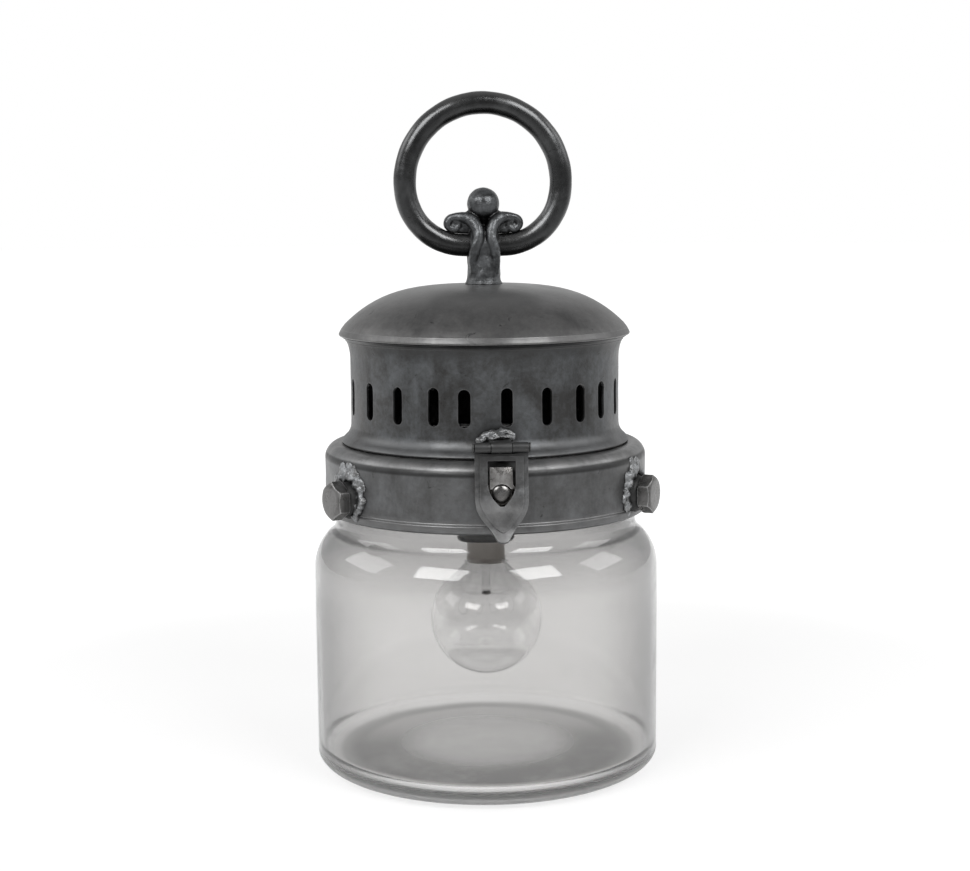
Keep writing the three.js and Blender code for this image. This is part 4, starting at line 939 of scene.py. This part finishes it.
def slotCutters():  # each slot was cut by hand, so no two are alike
    low = drum["seat"] + drum["slotLow"]
    top = drum["seat"] + drum["slotLow"] + drum["slotHigh"]
    cutters = []
    for number, turn in enumerate(slotTurns()):
        uneven = 0.35 * math.sin(number * 2.7)
        end = drum["slotWidth"] / 2 * (1 + 0.06 * math.sin(number * 1.9))
        outline = arc((0, top - end + uneven), (end, end), 0, 180, 12)
        outline += arc((0, low + end + uneven * 0.5), (end, end), 180, 360, 12)
        cutter = plate("slot", outline, -drum["radius"] - 4, -drum["radius"] + 5)
        turnAbout(cutter, turn)
        cutters.append(cutter)
    return cutters


def makeDrum():
    seat, radius, high, foot = drum["seat"], drum["radius"], drum["high"], drum["foot"]
    rim, cove, inner = drum["rim"], drum["cove"], radius - drum["wall"]
    profile = [(inner, 0), (foot - 0.9, 0)] + arc((foot - 0.9, 0.9), (0.9, 0.9), -60, 30, 5)
    profile += bow((foot - 0.25, 1.5), (foot - 1.0, 2.6), (foot - 2.3, 3.7), 6)[1:]
    profile += bow((foot - 2.3, 3.7), (radius + 0.5, 5.9), (radius + 0.1, 9.2), 9)[1:]
    profile += [(radius, 13), (radius, 20), (radius - 0.12, 27), (radius, 34), (radius, 40)]
    profile += arc((rim, high - cove), (rim - radius, cove - drum["rimHigh"]), 180, 96, 14)
    profile += [(rim, high), (rim - 2, high)]
    profile += arc((rim - 2, high - cove), (rim - 2 - inner, cove - 2), 90, 180, 10)
    profile += [(inner, 20)]
    piece = turned("ventDrum", [(out, up + seat) for out, up in profile], drum["sides"])
    cutters = slotCutters()
    bushCutter = cylinder("bushHole", drum["bushHole"], -8, 8, 40)
    pointOut(bushCutter, bushTurn(), (0, -radius, seat + drum["bushUp"]))
    cutWith(piece, joined("slots", *cutters, bushCutter))
    breakEdges(piece, 0.3, 50)
    soften(piece, 38)
    modifier(piece, "WEIGHTED_NORMAL", keep_sharp=True)
    place(piece, "drumMetal", "lid", "drum_metal", "vent_drum")


def makeBush():
    radius, lip, fillet = drum["radius"], drum["bushLip"], (drum["bushRound"],) * 2
    inner, outer = radius - drum["wall"] - 1.3, radius + 1.3
    profile = arc((lip, outer - fillet[0]), fillet, 90, -60, 6) + [(3.8, radius - 0.1), (3.8, radius - 1.9)]
    profile += arc((lip, inner + fillet[0]), fillet, 60, -90, 6)
    profile += [(2.8, inner), (2.4, inner + 0.4), (2.4, outer - 0.4), (2.8, outer)]
    piece = turned("cableBush", profile, 48)
    pointOut(piece, bushTurn(), (0, 0, drum["seat"] + drum["bushUp"]))
    soften(piece, 50)
    place(piece, "rubber", "lid", "rubber", "cable_bush")


makeDrum()
makeBush()
print("drum made")


# Dome

dome = {"base": 225.3, "radius": 75.1, "rim": 2.6, "rise": 23.1, "fullness": 3.6, "sheet": 2, "underShare": 0.922,
        "hole": 4.3, "sides": 168, "steps": 22}


def makeDome():
    base, radius, rim, rise, fullness = (dome[key] for key in ("base", "radius", "rim", "rise", "fullness"))
    shares = [math.sin(math.pi / 2 * (step + 1) / dome["steps"]) for step in range(dome["steps"])]
    top = [(dome["hole"], base + rim + rise)]
    top += [(radius * share, base + rim + rise * (1 - share ** fullness)) for share in shares if share < 0.975]
    top += [(radius - 1.6, base + 3.9), (radius - 1.3, base + 3.55)]
    roll = bow((radius - 1.3, base + 3.5), (radius - 0.45, base + 2.1), (radius - 0.02, base + 0.95), 7)
    roll += arc((radius - 0.7, base + 0.75), (0.7, 0.7), 0, -80, 6)
    under = [(radius - 1.9, base + 0.06), (radius - 2.6, base + 0.1)]
    inner = radius - dome["sheet"] - 0.3
    under += [(inner * share, (rim + rise * (1 - share ** fullness)) * dome["underShare"] + base)
              for share in reversed(shares) if share < 0.96]
    under.append((dome["hole"], base + (rim + rise) * dome["underShare"]))
    piece = turned("domeCap", top + roll + under, dome["sides"])
    soften(piece, 40)
    place(piece, "domeMetal", "lid", "dome_metal", "dome_cap")


makeDome()
print("dome made")


# Post, cast in one piece: foot, stem, eye, two arms that end in scrolls, and a ball

post = {"crown": 251, "eyeUp": 271, "barHole": 6.0, "ballUp": 292, "ballRadius": 8.3, "voxel": 0.4, "relaxed": 4,
        "lumps": (5, 0.6), "rib": 5.2,
        "bud": [(0, 279), (1.8, 281), (3.4, 284), (4.8, 287), (6.2, 289.6), (7.0, 291.6), (0, 292.4)],
        "ribLine": [(5.6, 4.4, 257), (5.7, 6.0, 263.5), (5.0, 7.9, 269), (3.2, 7.9, 275.4), (4.4, 5.8, 281),
                    (8.0, 3.6, 284.6), (11.8, 1.9, 285.3), (15.0, 1.3, 285.1), (17.5, 1.2, 284.1),
                    (18.5, 1.2, 282.0), (17.5, 1.2, 279.8), (15.3, 1.2, 278.9), (13.2, 1.2, 279.9),
                    (12.5, 1.2, 281.8), (13.6, 1.4, 283.3), (15.3, 1.5, 282.6)],
        "ribSwell": [0.7, 0.95, 1.1, 1.15, 1.25, 1.2, 1.0, 0.85, 0.8, 0.75, 0.72, 0.7, 0.68, 0.62, 0.55, 0.5],
        "underLine": [(5, 0, 279), (10, 0, 279), (13, 0, 279.5), (16, 0, 280.3)]}


def makePost():
    crown, eye = post["crown"], post["eyeUp"]
    stem = turned("handlePost", [
        (0, crown - 1), (9.6, crown - 1), (9.6, crown + 0.6), (8.9, crown + 1.6), (8.5, crown + 3.5),
        (8.4, crown + 9), (8.1, crown + 14), (7.8, eye - 3), (7.4, eye + 1), (6.8, eye + 5), (5.2, eye + 9),
        (0, eye + 11)], 64, closed=False)
    barrel = cylinder("barrel", 9.3, -7.3, 7.3, 64)
    layAcross(barrel, 0, eye)
    breakEdges(barrel, 2.4, 60, segments=4)
    top = ball("top", (0, 0, post["ballUp"]), (post["ballRadius"],) * 3)
    bud = turned("bud", post["bud"], 48, closed=False)
    bud.scale = (1, 1.2, 1)
    settle(bud)
    pieces = [stem, barrel, top, bud]
    for side in (-1, 1):
        for face in (-1, 1):
            line = [(side * x, face * y, z) for x, y, z in post["ribLine"]]
            pieces.append(rod("rib", line, post["rib"], 8, swell=post["ribSwell"]))
        pieces.append(ball("disc", (side * 15.2, 0, 282.1), (4.4, 1.8, 4.4)))
        pieces.append(ball("web", (side * 6.6, 0, 283.0), (5.6, 3.6, 5.8)))
        pieces.append(ball("fill", (side * 11.8, 0, 281.3), (5.8, 1.9, 4.3)))
        pieces.append(rod("under", [(side * x, y, z) for x, y, z in post["underLine"]], post["rib"], 8))
    piece = joined("handlePost", *pieces)
    fuse(piece, post["voxel"])
    relax(piece, post["relaxed"])
    lumpy(piece, *post["lumps"], 11)
    combine(piece, cylinder("shank", 4, 238.8, crown + 2, 40), "UNION")
    boreAcross(piece, post["barHole"], 0, eye, 20, 64)
    soften(piece, 50)
    place(piece, "casting", "lid", "casting", "handle_post")


makePost()
print("post made")


# Ring handle

ring = {"bar": 11.5, "low": 271, "rise": 32, "radius": 40.1, "bend": 30, "swell": 0.012}


def makeRing():
    bend, rise, radius = ring["bend"], ring["rise"], ring["radius"]
    out = math.sqrt((radius - bend) ** 2 - (rise - bend) ** 2)
    meets = math.degrees(math.atan2(bend - rise, out))
    line = [(-out, 0), (-out * 0.5, 0), (0, 0), (out * 0.5, 0), (out, 0)]
    line += arc((out, bend), (bend, bend), -90, meets, 8)[1:-1]
    line += arc((0, rise), (radius, radius), meets, 180 - meets, 36)
    line += arc((-out, bend), (bend, bend), 180 - meets, 270, 8)[1:-1]
    swell = [1 + ring["swell"] * math.sin(number * 1.7) for number in range(len(line))]
    points = [(x, 0, z + ring["low"]) for x, z in line]
    piece = rod("ringHandle", points, ring["bar"], 14, closed=True, swell=swell)
    soften(piece, 60)
    place(piece, "ringMetal", "ring", "ring_metal", "ring_handle")


makeRing()
print("ring made")


# Lampholder and bulb

holder = {
    "body": [(14.9, 133), (14.4, 134), (14.9, 135), (14.9, 150.4), (14.4, 151.2), (13.5, 151.2)],
    "cap": [(5.3, 168.5), (5.3, 158.3), (7.5, 158.3), (13.4, 153.1), (13.4, 151.5), (14.8, 151.5), (14.9, 157.2)],
    "capTop": [(7.4, 167.9), (7.0, 168.5)], "rim": 117.2}
bulb = {
    "up": 75.2, "radius": 29.3, "wall": 0.7, "shoulder": 42, "neck": 9.2, "neckRise": 34, "neckTop": 126,
    "capTop": [(0, 143.2), (4.5, 143.2), (4.6, 141.9), (11.8, 139)], "threadTop": 138.5, "threadEnd": 121,
    "capInside": [(12.3, 118), (11.5, 118), (11.4, 139), (4.4, 141), (0, 141)],
    "skirt": [(9.5, 107.2), (10.4, 107), (10.6, 107.6), (9.9, 108.6), (9.9, 114), (11.2, 117), (11.2, 117.9),
              (9.5, 117.9)],
    "stem": [(0, 125), (7.6, 125), (7.2, 122), (3.6, 118), (2.4, 112), (2.0, 98), (2.0, 92), (2.6, 90.4),
             (1.8, 89.2), (0, 88.8)],
    "lead": [(1.6, 0, 89), (1.8, 0, 88), (14, 0, 84.4)], "wire": 0.14, "turns": 7, "low": 77.2, "high": 84.4}


def makeHolder():
    rim = holder["rim"]
    foot = [(13.5, rim + 0.2), (14.2, rim)] + arc((14.2, rim + 0.8), (0.8, 0.8), -90, 90, 6)
    body = turned("lampholderBody", foot + [(14.4, rim + 2.6), (14.9, rim + 4)] + holder["body"], 64)
    soften(body, 40)
    place(body, "bakelite", "lid", "bakelite", "lampholder_body")
    crown = arc((7.5, 157.2), (7.4, 8.5), 20, 88, 8)
    cap = turned("lampholderCap", holder["cap"] + crown + holder["capTop"], 64)
    soften(cap, 40)
    place(cap, "bakelite", "lid", "bakelite", "lampholder_cap")


def bulbLine(radius, neck, pull):  # round the bulb and up into its neck
    centre = bulb["up"]
    line = arc((0, centre), (radius, radius), -90, bulb["shoulder"], 26)
    control = (line[-1][0] - pull, line[-1][1] + 8.4)
    return line + bow(line[-1], control, (neck, centre + bulb["neckRise"]), 8)[1:] + [(neck, bulb["neckTop"])]


def makeBulb():
    thread = list(bulb["capTop"])
    height = bulb["threadTop"]
    while height > bulb["threadEnd"]:
        thread += [(13.0, height - 0.9), (12.2, height - 2.2)]
        height -= 3.0
    cap = turned("bulbCap", thread + bulb["capInside"], 64, closed=False)
    soften(cap, 50)
    place(cap, "nickel", "lid", "nickel", "bulb_cap")
    skirt = turned("bulbSkirt", bulb["skirt"], 64)
    soften(skirt, 40)
    place(skirt, "skirt", "lid", "nickel")

    wall = bulb["wall"]
    inner = bulbLine(bulb["radius"] - wall, bulb["neck"] - wall, 9.4)
    glass = turned("bulbGlass", bulbLine(bulb["radius"], bulb["neck"], 9.6) + inner[::-1], 96, closed=False)
    soften(glass, 60)
    place(glass, "bulbGlass", "lid", "bulb_glass", "bulb_glass")
    stem = turned("bulbStem", bulb["stem"], 40, closed=False)
    soften(stem, 60)
    place(stem, "bulbGlass", "lid", "bulb_glass", "bulb_stem")
    button = ball("bulbButton", (0, 0, 88.2), (2.6, 2.6, 1.2))
    place(button, "nickel", "lid", "bulb_glass")

    wave = [(-x, y, z) for x, y, z in bulb["lead"]]
    for number in range(bulb["turns"]):
        wave.append((-12 + 4 * number, 0, bulb["low"] if number % 2 == 0 else bulb["high"]))
    filament = rod("bulbFilament", wave + bulb["lead"][::-1], bulb["wire"], 2)
    soften(filament, 60)
    place(filament, "tungsten", "lid", "dark_steel", "bulb_filament")


makeHolder()
makeBulb()
print("lamp made")


# Small fittings that keep the shape of their solids, with their edges broken by the last number

fittings = {
    "hinge_leaf_lower": ("hingeLeafLower", "base", "collarMetal", "collar_metal", 0.3),
    "hinge_leaf_upper": ("hingeLeafUpper", "lid", "drumMetal", "drum_metal", 0.3),
    "lid_hinge_pin": ("hingePin", "base", "darkSteel", "dark_steel", 0.25),
    "hasp_pin": ("haspPin", "hasp", "darkSteel", "dark_steel", 0.25),
    "bridge_strap": ("bridgeStrap", "lid", "darkSteel", "dark_steel", 0.4),
    "locknut_upper": ("locknutUpper", "lid", "nickel", "nickel", 0.35),
    "locknut_lower": ("locknutLower", "lid", "nickel", "nickel", 0.35),
    "threaded_tube": ("threadedTube", "lid", "nickel", "nickel", 0.3),
    "post_nut": ("postNut", "lid", "darkSteel", "dark_steel", 0.35),
    "post_washer": ("postWasher", "lid", "darkSteel", "dark_steel", 0.3),
    "lampholder_core": ("lampholderCore", "lid", "bakelite", "bakelite", 0.3),
}


def makeFittings():
    for node, (name, body, finish, slotName, width) in fittings.items():
        piece = copyOf(nodes[node], name)
        for key in list(piece.keys()):
            del piece[key]
        piece.parent = None
        piece.matrix_world = Matrix.Identity(4)
        tidyMesh(piece, recalculate=False)
        breakEdges(piece, width, 38)
        soften(piece, 36)
        place(piece, finish, body, slotName, node)


makeFittings()
print("fittings made")


# Studio: a pale floor that shows white, four softboxes, and a sky that is darker to the sides

studio = {"floor": 0.84, "seenFloor": 0.3, "glow": 0.74, "sideFloor": 0.17, "clear": (330, 620),
          "horizon": 0.7, "overhead": 0.3, "front": 0.4, "sideSeen": 0.22, "aim": (0, 0, 0.15),
          "lamps": [((-0.84, -1.0, 1.2), 0.86, 0.74, 14.0), ((0.74, -1.08, 1.2), 0.74, 0.74, 12.0),
                    ((-1.6, 0.35, 1.1), 1.1, 0.8, 5.5), ((1.6, 0.0, 1.1), 0.9, 0.7, 4.0)]}


def makeFloor():
    deselectAll()
    bpy.ops.mesh.primitive_circle_add(vertices=96, radius=9, fill_type="NGON", location=(0, 0, -0.0002))
    floor = bpy.context.object
    floor.name = "floor"
    paint, tree, shader, where = newMaterial("floorPaint")
    at = where.outputs["Object"]
    shader["Roughness"].default_value = 0.9
    shader["Specular IOR Level"].default_value = 0.0
    shader["Emission Color"].default_value = (1, 1, 1, 1)
    ray = addNode(tree, "ShaderNodeLightPath").outputs
    near, far = studio["clear"]  # the floor keeps the lantern's shadow up to here
    away = vectorMaths(tree, "LENGTH", at).outputs["Value"]
    clear = ramp(tree, away, near * mm, far * mm, smooth=True)
    heading = vectorMaths(tree, "NORMALIZE", at).outputs[0]
    split = addNode(tree, "ShaderNodeSeparateXYZ", {0: heading})
    behind = ramp(tree, split.outputs["Y"], -0.3, 0.55, studio["sideFloor"], 1.0, smooth=True)
    allRound = maths(tree, "MAXIMUM", behind, ray["Is Camera Ray"])
    level = ramp(tree, clear, 0.0, 1.0, studio["glow"], allRound)
    seen = maths(tree, "ADD", ray["Is Camera Ray"], ray["Is Glossy Ray"], clamp=True)
    seen = maths(tree, "ADD", seen, ray["Is Transmission Ray"], clamp=True)
    feed(tree, shader["Base Color"], blend(tree, seen, grey(studio["floor"]), grey(studio["seenFloor"])))
    feed(tree, shader["Emission Strength"], maths(tree, "MULTIPLY", seen, level))
    floor.data.materials.append(paint)


def makeSoftboxes():
    for number, (at, across, along, power) in enumerate(studio["lamps"]):
        light = bpy.data.lights.new("softbox" + str(number), "AREA")
        light.shape = "RECTANGLE"
        light.size, light.size_y = across, along
        light.energy = power
        softbox = bpy.data.objects.new(light.name, light)
        bpy.context.scene.collection.objects.link(softbox)
        softbox.location = at
        softbox.rotation_euler = (Vector(studio["aim"]) - Vector(at)).to_track_quat("-Z", "Y").to_euler()


def makeSky():
    world = bpy.data.worlds.new("studio")
    world.use_nodes = True
    bpy.context.scene.world = world
    tree = world.node_tree
    where = addNode(tree, "ShaderNodeTexCoord")
    split = addNode(tree, "ShaderNodeSeparateXYZ", {0: where.outputs["Generated"]}).outputs
    rise = ramp(tree, split["Z"], 0.3, 0.8, studio["horizon"], studio["overhead"], smooth=True)
    nearSide = ramp(tree, split["Y"], -0.75, 0.1, studio["front"], 1.0, smooth=True)
    level = maths(tree, "MULTIPLY", rise, nearSide)
    behind = ramp(tree, split["Y"], -0.1, 0.6, studio["sideSeen"], 1.0, smooth=True)
    ray = addNode(tree, "ShaderNodeLightPath").outputs
    seen = maths(tree, "ADD", ray["Is Camera Ray"], ray["Is Transmission Ray"], clamp=True)
    allRound = maths(tree, "MAXIMUM", behind, ray["Is Camera Ray"])
    shown = addNode(tree, "ShaderNodeMix", {0: seen, 2: level, 3: allRound}, data_type="FLOAT")
    feed(tree, tree.nodes["Background"].inputs["Color"], shown.outputs[0])


camera = {"lens": 66.8, "distance": 930.5, "turn": 5.1, "up": 298.7, "pitch": 7.75, "roll": 0.45}


def makeCamera():
    eye = bpy.data.cameras.new("camera")
    eye.lens = camera["lens"]
    eye.sensor_width = 36
    eye.clip_start = 0.05
    stand = bpy.data.objects.new("camera", eye)
    bpy.context.scene.collection.objects.link(stand)
    turn, away = math.radians(camera["turn"]), camera["distance"]
    stand.location = (-away * math.sin(turn) * mm, -away * math.cos(turn) * mm, camera["up"] * mm)
    view = (Matrix.Rotation(-turn, 4, "Z") @ Matrix.Rotation(math.radians(90 - camera["pitch"]), 4, "X")
            @ Matrix.Rotation(math.radians(-camera["roll"]), 4, "Z"))
    stand.rotation_euler = view.to_euler()
    bpy.context.scene.camera = stand


makeFloor()
makeSoftboxes()
makeSky()
makeCamera()
bpy.context.scene.view_settings.view_transform = "Standard"
print("studio made")
